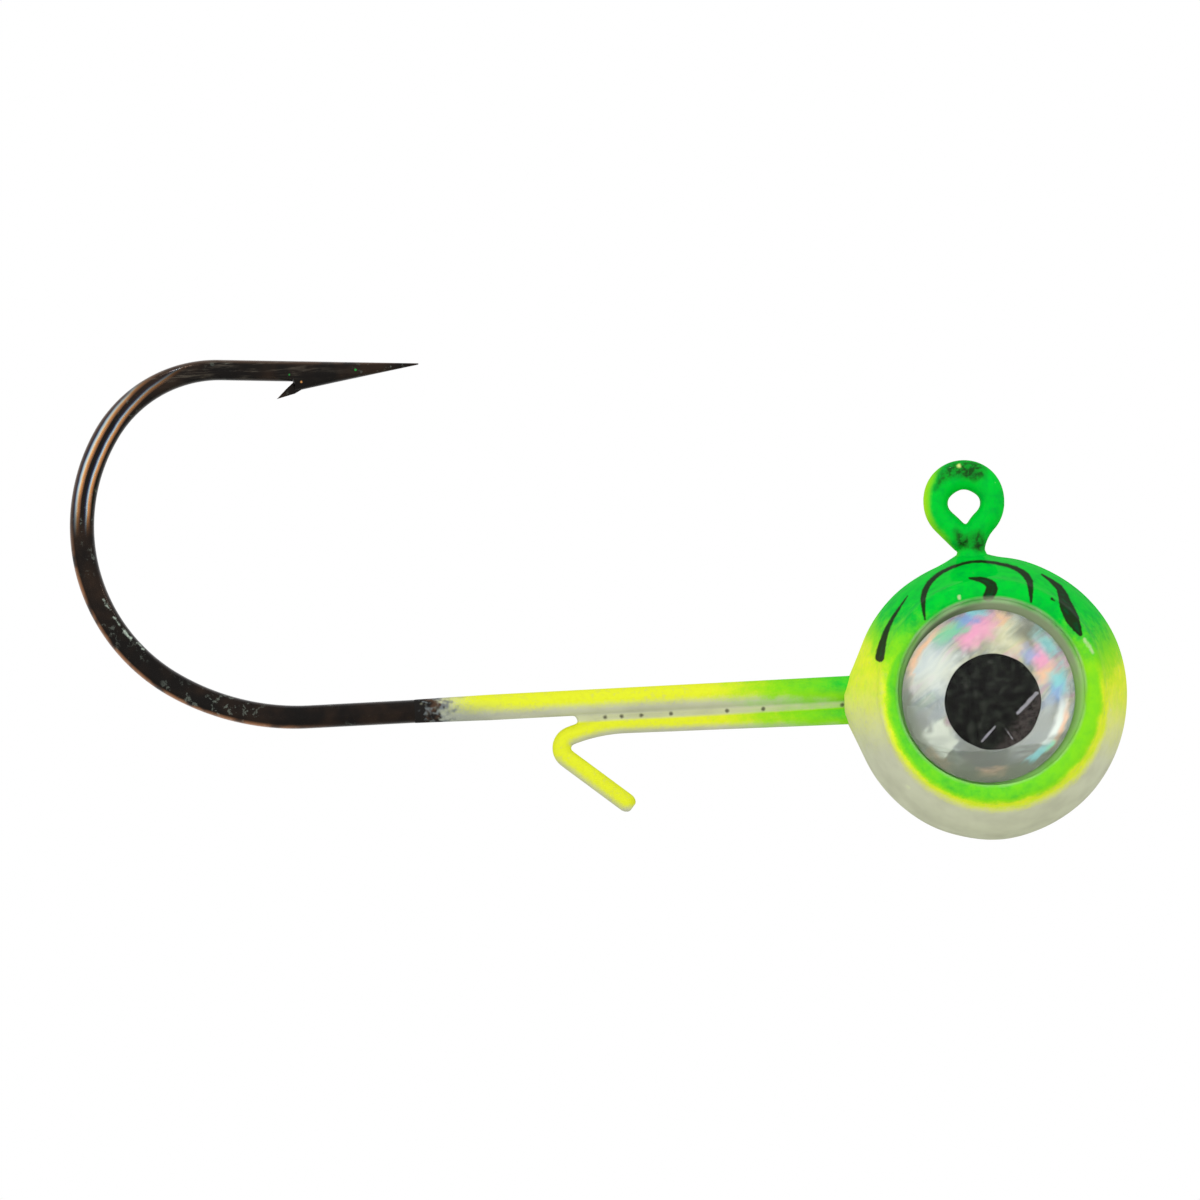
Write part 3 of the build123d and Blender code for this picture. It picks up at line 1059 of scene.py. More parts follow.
@dataclass(frozen=True)
class BlackNickel(Finish):
    """Black nickel on forged wire, with painted reflections along the bend, an orange-brown outer
    edge, dust and a painted glint at the barb.
    """

    bend: Spot = (0.0, 0.0)
    bend_r: float = 5.55
    half_wide: float = 0.37
    roughness: float = 0.2
    marks: tuple[Stroke, ...] = ()
    overspray: tuple[tuple[float, float, float, Paint], ...] = ()

    def dress(self, bench: Bench, shader: bpy.types.Node) -> Feed:
        """Feeds the shader."""
        place = bench.place()
        x, _, z = bench.parts(place)
        right = x - self.bend[0]
        up = z - self.bend[1]
        out = bench.vector("LENGTH", bench.joined(right, up, 0.0))
        angle = bench.direction(up, -right)
        # painted reflections: two coloured lines between dark edges, from the bend's back up to its
        # shoulder
        wobble = bench.noise(place, 1.2) * 0.06 - 0.03
        across = (out + wobble - (self.bend_r - self.half_wide)) / (2 * self.half_wide)
        reflection_bands = bench.ramp(across, REFLECTION_BANDS)
        shown = bench.rise(angle, -1.0, 12.0) * bench.fall(angle, 24.0, 72.0)
        shown = shown * bench.rise(bench.noise(place, 0.6, 2.0), 0.2, 0.5)
        mottle = bench.rise(bench.noise(place, 0.7, 3.0, 0.6), 0.38, 0.72)
        colour = bench.blend(mottle * 0.25, Paint.NICKEL, Paint.NICKEL_BRONZE)
        colour = bench.blend(shown * 0.9, colour, reflection_bands)
        # the outer edge is tinted: bronze along the spear, orange-brown low on the bend
        facing = bench.add("NewGeometry").outputs["Normal"]
        outward = bench.vector("NORMALIZE", bench.joined(bench.least(right, 0.0), 0.0, up))
        edge = bench.rise(bench.dot(facing, outward), 0.6, 0.95)
        edge = edge * bench.rise(bench.noise(place, 1.4, 2.0), 0.3, 0.55)
        edge = edge * bench.most(bench.rise(up, 0.0, 1.0), bench.fall(right, -0.5, 2.0))
        low = bench.fall(up, -1.5, 0.5)
        edge_tint = bench.blend(low, Paint.NICKEL_BRONZE, Paint.ORANGE_BROWN)
        colour = bench.blend(edge * 0.8, colour, edge_tint)
        # drawn streaks along the spear
        drawn = bench.joined(x * 0.3, 0.0, z * 2.4)
        drawn = bench.rise(bench.noise(drawn, 2.6, 4.0, 0.7), 0.48, 0.68)
        drawn = drawn * bench.rise(up, 4.2, 4.9) * bench.fall(right, 0.6, 4.0)
        colour = bench.blend(drawn * 0.5, colour, Paint.NICKEL_STREAK)
        # pale marks: dabs inside the low part of the bend, and stray specks
        flat = bench.joined(x, 0.0, z)
        grains = bench.noise(place, 5.0, 3.0, 0.7)
        strewn = bench.rise(bench.noise(place, 0.5, 1.0), 0.5, 0.65)
        specks = bench.rise(grains, 0.57, 0.66) * strewn * 0.2
        for mark in self.marks:
            depth = (grains - 0.5) * 0.3 + mark.depth(bench, flat, (0.0, 0.0))
            specks = bench.most(specks, bench.rise(depth, -0.03, 0.05) * 0.9)
        colour = bench.blend(specks, colour, Paint.NICKEL_DUST)
        # specks of overspray near the barb, and a painted glint at the barb's root
        ragged = bench.noise(place, 9.0) * 0.05
        for spray_x, spray_z, size, paint in self.overspray:
            dot = bench.speck(flat, (spray_x, spray_z), size, size + 0.05, ragged)
            colour = bench.blend(dot, colour, paint)
            specks = bench.most(specks, dot)
        uneven = bench.noise(place, 2.5, 3.0)
        rough = bench.between(uneven, self.roughness * 0.6, self.roughness * 1.6)
        feeds = {
            "Base Color": colour,
            "Metallic": bench.between(specks, 1.0, 0.4),
            "Roughness": specks * 0.3 + rough,
            "Normal": bench.relief(bench.noise(place, 7.0, 3.0, 0.6), 0.008),
        }
        bench.connect(shader, feeds)
        return shader.outputs[0]


@dataclass(frozen=True)
class Patch:
    """A patch of light on the foil, in the angle and radius round the eye's centre."""

    middle: float
    out: float
    half_turn: float
    half_depth: float
    paint: Paint
    strength: float
    softness: float = 0.75


@dataclass(frozen=True)
class Foil(Finish):
    """Crushed holographic foil: grey silver in flat facets, with patches of rainbow, painted
    reflections of the dome and painted shade at its rim.
    """

    eye: Spot = (0.0, 0.0)
    turned: float = 0.0
    patches: tuple[Patch, ...] = ()
    rim_patches: tuple[Patch, ...] = ()

    @staticmethod
    def patched(
        bench: Bench, colour: Value, spot: tuple[Value, Value], patches: Sequence[Patch]
    ) -> Value:
        """The colour with patches laid over it, at an angle and a distance from the middle."""
        for patch in patches:
            shape = {name: value for name, value in vars(patch).items() if name != "paint"}
            mask = bench.group(GLINT, angle=spot[0], radius=spot[1], **shape)
            colour = bench.blend(mask, colour, patch.paint)
        return colour

    def dress(self, bench: Bench, shader: bpy.types.Node) -> Feed:
        """Feeds the shader."""
        place = bench.place()
        x, _, z = bench.parts(place)
        right = x - self.eye[0]
        up = z - self.eye[1]
        slant = math.radians(40.0)
        along = right * math.cos(slant) + up * math.sin(slant)
        over = up * math.cos(slant) - right * math.sin(slant)
        streak = bench.noise(bench.joined(along * 0.4, over * 2.6, 0.0), 2.4, 3.0, 0.6)
        wobble = bench.noise(place, 1.6, 3.0, 0.6) - 0.5
        torn = wobble + streak - 0.5
        angle = torn * 16.0 + bench.direction(up, right) - self.turned
        out = torn * 0.25 + bench.vector("LENGTH", bench.joined(right, up, 0.0))
        cells = {"Vector": bench.joined(along * 0.5, over, 0.0), "Scale": 1.1, "Smoothness": 0.5}
        facets = bench.read("TexVoronoi", cells, "Color", feature="SMOOTH_F1")
        shade = bench.parts(facets)[0]
        fibres = bench.noise(bench.joined(angle * 0.05, 0.0, out * 3.0), 1.4, 3.0, 0.6)
        grey = bench.blend(bench.rise(shade, 0.1, 0.9), Paint.FOIL_DARK, Paint.FOIL)
        grey = bench.blend(bench.rise(fibres, 0.45, 0.75) * 0.45, grey, Paint.FOIL_BRIGHT)
        # rainbow streaks lie slantwise, and show most in the upper part
        hue = bench.noise(bench.joined(along * 0.3, over, 1.7), 1.1, 3.0, 0.5)
        rainbow = bench.ramp(bench.rise(hue, 0.28, 0.72), RAINBOW)
        lifted = bench.rise(wobble * 2.0 + up, -1.8, 1.6)
        colour = bench.blend(lifted * 0.3 + 0.08, grey, rainbow)
        colour = self.patched(bench, colour, (angle, out), self.patches)
        # dark creases below the pupil
        creases = bench.noise(bench.joined(right * 0.5, 0.0, up * 2.6), 2.2, 3.0, 0.6)
        below = bench.fall(wobble * 1.2 + up, -1.7, -0.9)
        creases = bench.rise(creases, 0.42, 0.62) * below
        colour = bench.blend(creases * 0.6, colour, Paint.FOIL_DARK)
        # painted shade: the foil's rim darkened under the dome's bevel, most of all below
        below = bench.rise(right * 0.45 + up, 0.6, -1.6)
        inner = bench.between(below, 2.42, 2.08)
        rim = bench.rise(out, inner, inner + 0.3) * bench.between(below, 0.35, 0.8)
        colour = bench.blend(rim, colour, Paint.FOIL_RIM_SHADE)
        colour = self.patched(bench, colour, (angle, out), self.rim_patches)
        feeds = {
            "Base Color": colour,
            "Metallic": 0.25,
            "Roughness": bench.between(shade, 0.35, 0.55),
            "Normal": bench.relief(fibres * 0.3 + shade, 0.004),
        }
        bench.connect(shader, feeds)
        return shader.outputs[0]


@dataclass(frozen=True)
class PupilInk(Finish):
    """Black screen ink: grainy, thin at one side, and scratched."""

    eye: Spot = (0.0, 0.0)
    scratches: tuple[Stroke, ...] = ()

    def dress(self, bench: Bench, shader: bpy.types.Node) -> Feed:
        """Feeds the shader."""
        place = bench.place()
        x, _, z = bench.parts(place)
        flat = bench.joined(x, 0.0, z)
        grain = bench.noise(place, 7.0, 3.0, 0.7)
        sparse = bench.rise(grain, 0.5, 0.78) * bench.rise(bench.noise(place, 1.6, 2.0), 0.42, 0.62)
        mottle = bench.rise(bench.noise(place, 4.8, 3.0, 0.6), 0.42, 0.72) * 0.44
        colour = bench.blend(mottle, Paint.INK, Paint.INK_SPECK)
        colour = bench.blend(sparse, colour, Paint.INK_SPECK)
        aside = bench.vector("SUBTRACT", flat, in_plane(self.eye))
        thin = bench.rise(bench.dot(aside, (0.8, 0.0, -0.6)), 0.72, 1.0)
        colour = bench.blend(thin * bench.rise(grain, 0.3, 0.6), colour, Paint.INK_THIN)
        for scratch in self.scratches:
            depth = (grain - 0.5) * 0.08 + scratch.depth(bench, flat, self.eye)
            colour = bench.blend(bench.rise(depth, -0.02, 0.03) * 0.55, colour, Paint.SCRATCH)
        feeds = {
            "Base Color": colour,
            "Roughness": bench.between(grain, 0.5, 0.8),
            "Specular IOR Level": 0.0,
            "Normal": bench.relief(grain, 0.002),
        }
        bench.connect(shader, feeds)
        return shader.outputs[0]


@dataclass(frozen=True)
class ClearEpoxy(Finish):
    """Clear domed resin, with faint scuffs; it lets a lamp's light through to the foil."""

    roughness: float = 0.02
    bends: float = 1.24

    def dress(self, bench: Bench, shader: bpy.types.Node) -> Feed:
        """Feeds the shader."""
        place = bench.place()
        marks = bench.group(SCUFFS, place=place, stretch=(1.1, 0.6, 2.3), amount=0.5)
        waves = bench.group(COAT_RELIEF, place=place, peel=0.1, grain=0.0)
        feeds = {
            "Base Color": WHITE,
            "Transmission Weight": 1.0,
            "IOR": self.bends,
            "Roughness": marks * 0.25 + self.roughness,
            "Normal": bench.relief(waves, 0.006),
        }
        bench.connect(shader, feeds)
        shadow = bench.add("LightPath").outputs["Is Shadow Ray"]
        clear = bench.add("BsdfTransparent").outputs[0]
        return bench.read("MixShader", {0: shadow, 1: shader.outputs[0], 2: clear})


@dataclass(frozen=True)
class Mottled(Finish):
    """A plain stuff whose colour, gloss and skin vary a little: lead, adhesive, steel or paper."""

    first: Paint = Paint.LEAD
    second: Paint = Paint.LEAD_DULL
    metallic: float = 0.0
    roughness: float = 0.5
    lumps: float = 1.5
    depth: float = 0.02

    def dress(self, bench: Bench, shader: bpy.types.Node) -> Feed:
        """Feeds the shader."""
        place = bench.place()
        spots = bench.noise(place, self.lumps, 4.0, 0.6)
        feeds = {
            "Base Color": bench.blend(bench.rise(spots, 0.35, 0.7), self.first, self.second),
            "Metallic": self.metallic,
            "Roughness": bench.between(spots, self.roughness * 0.8, self.roughness * 1.2),
            "Normal": bench.relief(bench.noise(place, self.lumps * 5, 3.0), self.depth),
        }
        bench.connect(shader, feeds)
        return shader.outputs[0]


# ------------------------------------------------------------------------------------- the hook
@dataclass
class Hook:
    """The forged jig hook: closed line eye, right-angle bend in the ball, shank, bend and point."""

    wire_r: float = 0.35
    ring_r: float = 0.84
    ring_closes: float = 222.5
    stub: float = 0.85
    throat_r: float = 1.50
    neck_x: float = 0.15
    shank_z: float = -5.45
    jig_bend_r: float = 1.0
    heel: tuple[float, float] = (7.48, 32.2)
    back: tuple[float, float] = (5.55, 90.9)
    brow: tuple[float, float] = (3.90, 60.9)
    shank_reach: float = 20.31
    forge_wide: float = 0.37
    forge_flat: float = 0.30
    forge_fade: float = 2.8
    forge_round: float = 0.03
    spear_r: float = 0.31
    spear_length: float = 6.0
    point_length: float = 2.49
    tip_r: float = 0.02
    barb_tip: tuple[float, float] = (-4.27, -0.85)
    notch: float = 3.73
    blade_slope: float = 0.236
    barb_half: float = 0.17
    step: float = 0.07

    @property
    def bend_x(self) -> float:
        """Where the shank goes over into the bend."""
        return self.neck_x - self.shank_reach

    def ring_and_neck(self) -> Course:
        """The line eye from its closing end, round and down the neck to the jig bend."""
        throat_side = self.neck_x + self.throat_r
        throat_z = -math.sqrt((self.ring_r + self.throat_r) ** 2 - throat_side**2)
        throat_turn = math.degrees(math.atan2(-throat_z, throat_side))
        closes = math.radians(self.ring_closes)
        x = self.ring_r * math.cos(closes) - self.stub * math.sin(closes)
        z = self.ring_r * math.sin(closes) + self.stub * math.cos(closes)
        course = Course(x, z, self.ring_closes - 90.0, self.step)
        course.run(self.stub).bend(self.ring_r, -self.ring_closes - throat_turn)
        return course.bend(self.throat_r, throat_turn).run(
            throat_z - self.shank_z - self.jig_bend_r
        )

    def centreline(self) -> Course:
        """The whole wire, from the ring's closing end to the point."""
        course = self.ring_and_neck().bend(self.jig_bend_r, -90.0)
        course.run(self.shank_reach - self.jig_bend_r)
        for radius, turn in (self.heel, self.back, self.brow):
            course.bend(radius, -turn)
        return course.run(self.spear_length - self.point_length).run(self.point_length)

    def wire(self) -> Shape:
        """The wire with its forged flats and its ground point."""
        course = self.centreline()
        walked = course.walked()
        total = walked[-1]
        arcs = [math.radians(turn) * radius for radius, turn in (self.heel, self.back, self.brow)]
        marks = total - self.spear_length - np.cumsum([0.0, *arcs[::-1]])[::-1]

        def section(station: int, angles: np.ndarray) -> tuple[np.ndarray, np.ndarray]:
            """The skin at a station: forged round the bend and ground away at the point."""
            along = walked[station]
            radii = (self.wire_r, self.wire_r, self.forge_wide, self.forge_wide, self.spear_r)
            radius = float(np.interp(along, [0.0, *marks], radii))
            x = course.stations[station][0]
            fade = [self.bend_x - self.forge_fade, self.bend_x]
            flat = float(np.interp(x, fade, [self.forge_flat, self.wire_r]))
            ground = max(0.0, along - (total - self.point_length)) / self.point_length
            tip = radius + (self.tip_r - radius) * ground
            left = tip * np.cos(angles) + (radius - tip)
            across = tip * np.sin(angles)
            back = total - along
            if self.point_length <= back <= self.notch:
                keel = radius + (back - self.point_length) * self.blade_slope
                left = np.where(np.cos(angles) < 0.0, keel * np.cos(angles), left)
            if along > marks[0] - 0.5 and ground == 0.0:
                held = smooth_max(-np.abs(across), np.full(len(angles), -flat), self.forge_round)
                across = np.sign(across) * -held
            return left, across

        return swept(course, section, sides=56)

    def barb(self) -> Shape:
        """The barb: a wedge cut up from the wire's inner side, keener along its outer edge."""
        end = self.centreline().stations[-1]
        way = math.radians(end[2])
        under = -self.spear_r
        edge = (self.notch - self.point_length - 0.2) * self.blade_slope
        outline = (
            (0.2 - self.notch, under - edge, 0.04),
            (-self.notch, self.barb_tip[1] * 0.35 + (under - edge) * 0.65 - 0.02, 0.035),
            (*self.barb_tip, 0.012),
            ((self.barb_tip[0] - self.notch) / 2, (self.barb_tip[1] + under) / 2 + 0.03, 0.08),
            (-self.notch, under + 0.03, self.barb_half),
            (0.2 - self.notch, 0.0, self.barb_half),
        )
        rows = []
        for side in (-1.0, 1.0):
            row = []
            for along, left, half in outline:
                x = end[0] + along * math.cos(way) - left * math.sin(way)
                z = end[1] + along * math.sin(way) + left * math.cos(way)
                row.append((x, side * half, z))
            rows.append(np.array(row))
        return Shape.lofted(rows)

    def build(self, finish: bpy.types.Material) -> None:
        """Joins the barb to the wire and hands the hook over.

        Args:
            finish: the hook's material.
        """
        wire, barb = work_piece("wire", self.wire()), work_piece("barb", self.barb())
        union = wire.modifiers.new("barb", "BOOLEAN")
        union.operation, union.solver, union.object = "UNION", "EXACT", barb
        data = evaluated(wire, "hook_wire")
        for work in (wire, barb):
            bpy.data.objects.remove(work)
        data.transform(Matrix.Scale(MM, 4))
        placed(stored("hook_wire", data, finish, sharp=28.0), "black_nickel", "hook")

    @property
    def bend_centre(self) -> tuple[float, float]:
        """The centre of the bend's middle arc."""
        heel_r, heel_turn = self.heel
        way = math.radians(90.0 - heel_turn)
        x = self.bend_x + (self.back[0] - heel_r) * math.cos(way)
        z = self.shank_z + heel_r + (self.back[0] - heel_r) * math.sin(way)
        return x, z


# ------------------------------------------------------------------------------------- the keeper
@dataclass
class BaitKeeper:
    """The wire keeper under the shank: a crook in the lead, a leg, a hairpin and a tail."""

    wire_r: float = 0.245
    drop: float = 0.83
    climb: float = 0.7
    root_back: float = 1.45
    leg: float = 9.28
    sag: tuple[float, float] = (5.10, 19.7)
    hair: tuple[float, float] = (0.39, 121.5)
    crook: tuple[float, float] = (0.50, 55.0)
    crook_leg: float = 0.60
    tail: float = 2.45
    end_round: float = 0.22
    end_draft: float = 0.42

    def centreline(self, hook: Hook, cap: float) -> Course:
        """The keeper from the end of its crook, inside the ball, to its free end.

        Args:
            hook: the hook that it lies under.
            cap: how much longer than the wire it runs.

        Returns:
            The course.
        """
        crook_r, crook_turn = self.crook
        anchored = Course(hook.neck_x - self.root_back, hook.shank_z - self.drop, 0.0)
        anchored.bend(crook_r, -crook_turn).run(self.crook_leg)
        course = Course(anchored.x, anchored.z, anchored.heading + 180.0)
        course.run(self.crook_leg).bend(crook_r, crook_turn)
        course.heading -= self.climb
        course.run(self.leg).bend(*self.sag).bend(*self.hair)
        return course.run(self.tail + cap - self.end_round).run(self.end_round)

    def wire(self, course: Course, radius: float) -> Shape:
        """A round wire along the keeper's course, with its free end rounded off.

        Args:
            course: the centreline.
            radius: the wire's radius, with any coat on it.

        Returns:
            The closed wire.
        """
        left_over = course.walked()[-1] - course.walked()

        def section(station: int, angles: np.ndarray) -> tuple[np.ndarray, np.ndarray]:
            """The skin at a station."""
            short = max(0.0, 1.0 - left_over[station] / self.end_round)
            reach = radius * (1.0 - self.end_draft * short**2)
            return reach * np.cos(angles), reach * np.sin(angles)

        return swept(course, section)

    def build(self, hook: Hook, finish: bpy.types.Material) -> None:
        """Makes the bare keeper under its coat.

        Args:
            hook: the hook that it lies under.
            finish: the wire's material.
        """
        course = self.centreline(hook, 0.0)
        data = self.wire(course, self.wire_r).mesh("keeper_wire", MM)
        placed(stored("keeper_wire", data, finish, sharp=60.0), "keeper_wire", "bait_keeper")


# ------------------------------------------------------------------------------------- the head
@dataclass
class Head:
    """The enamelled ball with its two raised eye sockets, seam and gate."""

    ball_r: float = 4.12
    film: float = 0.08
    gate_rise: float = 0.10
    gate_swell: float = 0.025
    gate_r: float = 0.9
    seam: float = 0.018
    taller: float = 0.011
    bore_r: float = 2.91
    rim_width: float = 0.39
    rim_round: float = 0.25
    mouth_round: float = 0.12
    floor_round: float = 0.05
    rim_height: float = 1.60
    rim_draft: float = 0.30
    valley: float = 0.30
    waves: float = 0.03
    around: int = 300
    eye_back: float = 0.10
    eye_settle: float = 0.12
    wires_z: float = -5.865
    wires_half: float = 0.415
    rear_draw: float = 0.138
    rear_reach: float = 1.335
    web_dimple: float = 0.55
    neck_x: float = 0.05
    neck_draw: float = 0.30
    neck_reach: float = 1.10

    def __post_init__(self) -> None:
        """Reads the head's places from the frame."""
        low, high = node_box("head_casting")
        self.centre = np.array([high[0] - self.ball_r, 0.0, low[2] + self.gate_rise + self.ball_r])
        self.crest = high[1] + self.film
        self.floor = node_box("left_eye_pad")[0][1]
        eye_low, eye_high = node_box("left_eye_foil")
        eye = (eye_low + eye_high) / 2
        self.socket = np.array([eye[0] + self.eye_back, 0.0, eye[2] + self.eye_settle])
        self.skin_r = self.ball_r + self.film

    def profile(self) -> list[tuple[float, float]]:
        """The socket and the rim's top, as radius and height, from the middle of the floor out."""
        bore = self.bore_r - self.film
        mouth, top = self.mouth_round + self.film, self.rim_round + self.film
        corner = self.floor_round
        rows = [(share * bore, self.floor) for share in (0.25, 0.5, 0.75, 0.9, 0.95)]
        rows += arc(corner, (bore - corner, self.floor + corner), -90.0, 0.0, 5)
        walls = np.linspace(self.floor + corner, self.crest - mouth, 5)[1:-1]
        rows += [(bore, float(height)) for height in walls]
        rows += arc(mouth, (bore + mouth, self.crest - mouth), 180.0, 90.0, 11)
        middle = self.flank(self.crest - top) - top * math.cos(math.radians(10))
        return rows + arc(top, (middle, self.crest - top), 90.0, 12.0, 14)

    def flank(self, height: float) -> float:
        """The radius of the rim's flank at a height."""
        slope = self.rim_draft / (self.rim_height + self.film)
        return self.bore_r + self.rim_width + self.film + slope * (self.crest - height)

    def band(self, height: float, angles: np.ndarray) -> np.ndarray:
        """The distance from the socket's axis to the skin, at a height, in each direction.

        Args:
            height: distance from the seam's plane.
            angles: directions in the XZ plane, in radians.

        Returns:
            The distances.
        """
        away = self.socket - self.centre
        ways = np.column_stack([np.cos(angles), np.zeros(len(angles)), np.sin(angles)])
        drift = ways @ away
        slice_r = math.sqrt(max(self.skin_r**2 - height**2, 0.01))
        reach = -drift + np.sqrt(np.maximum(drift**2 - away @ away + slice_r**2, 0.01))
        reach = reach * (1.0 - self.taller * np.cos(2 * angles))
        skin = smooth_max(reach, np.full(len(angles), self.flank(height)), self.valley)
        skin = skin + self.seam * math.exp(-((height / 0.05) ** 2))
        places = self.socket[0] + ways[:, 0] * reach - self.centre[0]
        below = smooth_step(-np.sin(angles), 0.3, 0.6)
        away_from_gate = np.sqrt(places**2 + height**2)
        return skin + self.gate_swell * below * smooth_step(away_from_gate, 1.5 * self.gate_r, 0.1)

    def shell(self) -> Shape:
        """The whole outer skin of the enamel on the ball."""
        angles = ring_angles(self.around)
        turned = self.profile()
        start = turned[-1][1]
        heights = [start - step for step in (0.04, 0.09, 0.15, 0.22, 0.30)]
        heights += list(np.linspace(heights[-1], 0.32, 40)[1:])
        heights += [0.24, 0.17, 0.12, 0.08, 0.05, 0.025]
        half = [(np.full(self.around, radius), height) for radius, height in turned]
        half += [(self.band(height, angles), height) for height in heights]
        mirrored = [(reach, -height) for reach, height in half[::-1]]
        rings = []
        for reach, height in (*half, (self.band(0.0, angles), 0.0), *mirrored):
            level = np.full(self.around, height)
            ring = np.column_stack([np.cos(angles) * reach, level, np.sin(angles) * reach])
            rings.append(ring + self.socket)
        shape = Shape.lofted(rings)
        shape.points = np.array([self.run_out(point) for point in shape.points])
        return shape

    def run_out(self, point: np.ndarray) -> np.ndarray:
        """A point of the skin after the coat has varied in thickness and crept along the wires.

        Args:
            point: the point on the plain skin.

        Returns:
            The moved point.
        """
        outward = point - self.centre
        reach = np.linalg.norm(outward)
        lift = self.waves * noise.noise(Vector(point) * 0.55) * smooth_step(reach, 3.2, 4.0)
        moved = point + outward / reach * lift
        if outward[0] < -2.5:
            away = math.hypot(point[1], point[2] - self.wires_z)
            clear = max(away - self.wires_half, 0.0)
            drawn = self.rear_draw * max(0.0, self.rear_reach - clear) ** 2
            dimple = self.web_dimple * (1.0 - smooth_step(away, 0.12, self.wires_half))
            moved[0] -= drawn * (1.0 - dimple)
        if outward[2] > 3.0:
            away = math.hypot(point[0] - self.neck_x, point[1])
            moved[2] += self.neck_draw * max(0.0, self.neck_reach - away) ** 2
        return moved

    def build(self, finish: bpy.types.Material, lead: bpy.types.Material) -> None:
        """Makes the ball's enamel and the lead under it.

        Args:
            finish: the enamel's material.
            lead: the casting's material.
        """
        skin = self.shell()
        coat = stored("head_enamel", skin.mesh("head_enamel", MM), finish, sharp=60.0)
        placed(coat, "enamel", "enamel_coat")
        core = skin.mesh("lead_casting", MM)
        normals = [vertex.normal.copy() for vertex in core.vertices]
        for vertex, normal in zip(core.vertices, normals):
            vertex.co -= normal * self.film * MM
        placed(stored("lead_casting", core, lead, sharp=60.0), "lead", "head_casting")


@dataclass
class WireCoat:
    """The enamel on the line eye, the neck, the shank and the keeper, run together as one skin."""

    film: float = 0.04
    thin_film: float = 0.008
    ring_sag: float = 0.06
    ring_lean: float = 0.04
    start_x: float = -17.00
    fade_x: float = -16.60
    full_x: float = -14.70
    web_end: float = -12.25
    web_slope: float = 0.30
    web_half: float = 0.12
    voxel: float = 0.042
    rounds: int = 5
    inside: float = 0.7

    def skirt(
        self, centre: np.ndarray, axis: Vector, radius: float, rise: float, width: float
    ) -> Shape:
        """The fillet of paint where a wire leaves the ball.

        Args:
            centre: where the wire's axis crosses the ball's skin.
            axis: the wire's way out.
            radius: the coated wire's radius.
            rise: how far the fillet climbs the wire.
            width: how far it spreads on the ball.

        Returns:
            The closed fillet.
        """
        profile = [(radius + width, -0.30)]
        for share in np.linspace(1.0, 0.0, 9):
            height = rise * (1.0 - share) ** 2.4 - 0.05 * share - 0.02
            profile.append((radius + width * share, height))
        profile.append((radius * 0.5, rise))
        return revolved(centre, axis, np.array(profile), 40)

    def shape(self, hook: Hook, keeper: BaitKeeper, head: Head) -> Shape:
        """All the coated wires, still overlapping."""
        radius = hook.wire_r + self.film
        ring = hook.ring_and_neck()
        crown = head.centre[2] + head.skin_r - self.inside
        ring.stations = [spot for spot in ring.stations if spot[1] > crown]

        def hung(station: int, angles: np.ndarray) -> tuple[np.ndarray, np.ndarray]:
            """The ring's coat, which gathered on top as it dried, and left its inner sides thin."""
            height = ring.stations[station][1]
            sag = self.ring_sag * float(smooth_step(height, -0.1, 0.84))
            lean = self.ring_lean * float(1.0 - smooth_step(abs(height), 0.15, 0.75))
            left = np.cos(angles)
            return (radius + sag - lean * (left < 0.0)) * left, (radius + sag / 2) * np.sin(angles)

        back = head.centre[0] - head.skin_r
        start = back + self.inside
        shank = Course(start, hook.shank_z, 180.0).run(start - self.start_x)

        def sleeve(station: int, angles: np.ndarray) -> tuple[np.ndarray, np.ndarray]:
            """The shank's coat, which thins out towards its end."""
            x = shank.stations[station][0]
            film = [self.thin_film, self.film]
            coated = hook.wire_r + float(np.interp(x, [self.start_x, self.full_x], film))
            return coated * np.cos(angles), coated * np.sin(angles)

        wires = keeper.centreline(hook, self.film)
        wires.stations = [spot for spot in wires.stations if spot[0] < start]
        keeper_z = hook.shank_z - keeper.drop
        edge = (
            (start, hook.shank_z),
            (self.web_end, hook.shank_z),
            (self.web_end + self.web_slope, keeper_z + 0.05),
            (start, keeper_z),
        )
        sides = (-self.web_half, self.web_half)
        web = Shape.lofted([np.array([(x, side, z) for x, z in edge]) for side in sides])
        top = math.sqrt(head.skin_r**2 - (hook.neck_x - head.centre[0]) ** 2)
        neck_out = np.array([hook.neck_x, 0.0, head.centre[2] + top + 0.02])
        skirt = self.skirt(neck_out, Vector((0, 0, 1)), radius, rise=0.36, width=0.34)
        kept = keeper.wire(wires, keeper.wire_r + self.film)
        return Shape.joined([swept(ring, hung), swept(shank, sleeve), kept, web, skirt])

    def build(
        self, hook: Hook, keeper: BaitKeeper, head: Head, finish: bpy.types.Material
    ) -> None:
        """Makes the wires' enamel.

        Args:
            hook: the hook that it coats.
            keeper: the keeper that it coats.
            head: the ball that it runs into.
            finish: the enamel's material.
        """
        data = fused(self.shape(hook, keeper, head), "wire_enamel", self.voxel, self.rounds)
        data.transform(Matrix.Scale(MM, 4))
        placed(stored("wire_enamel", data, finish, sharp=80.0), "enamel", "enamel_coat")


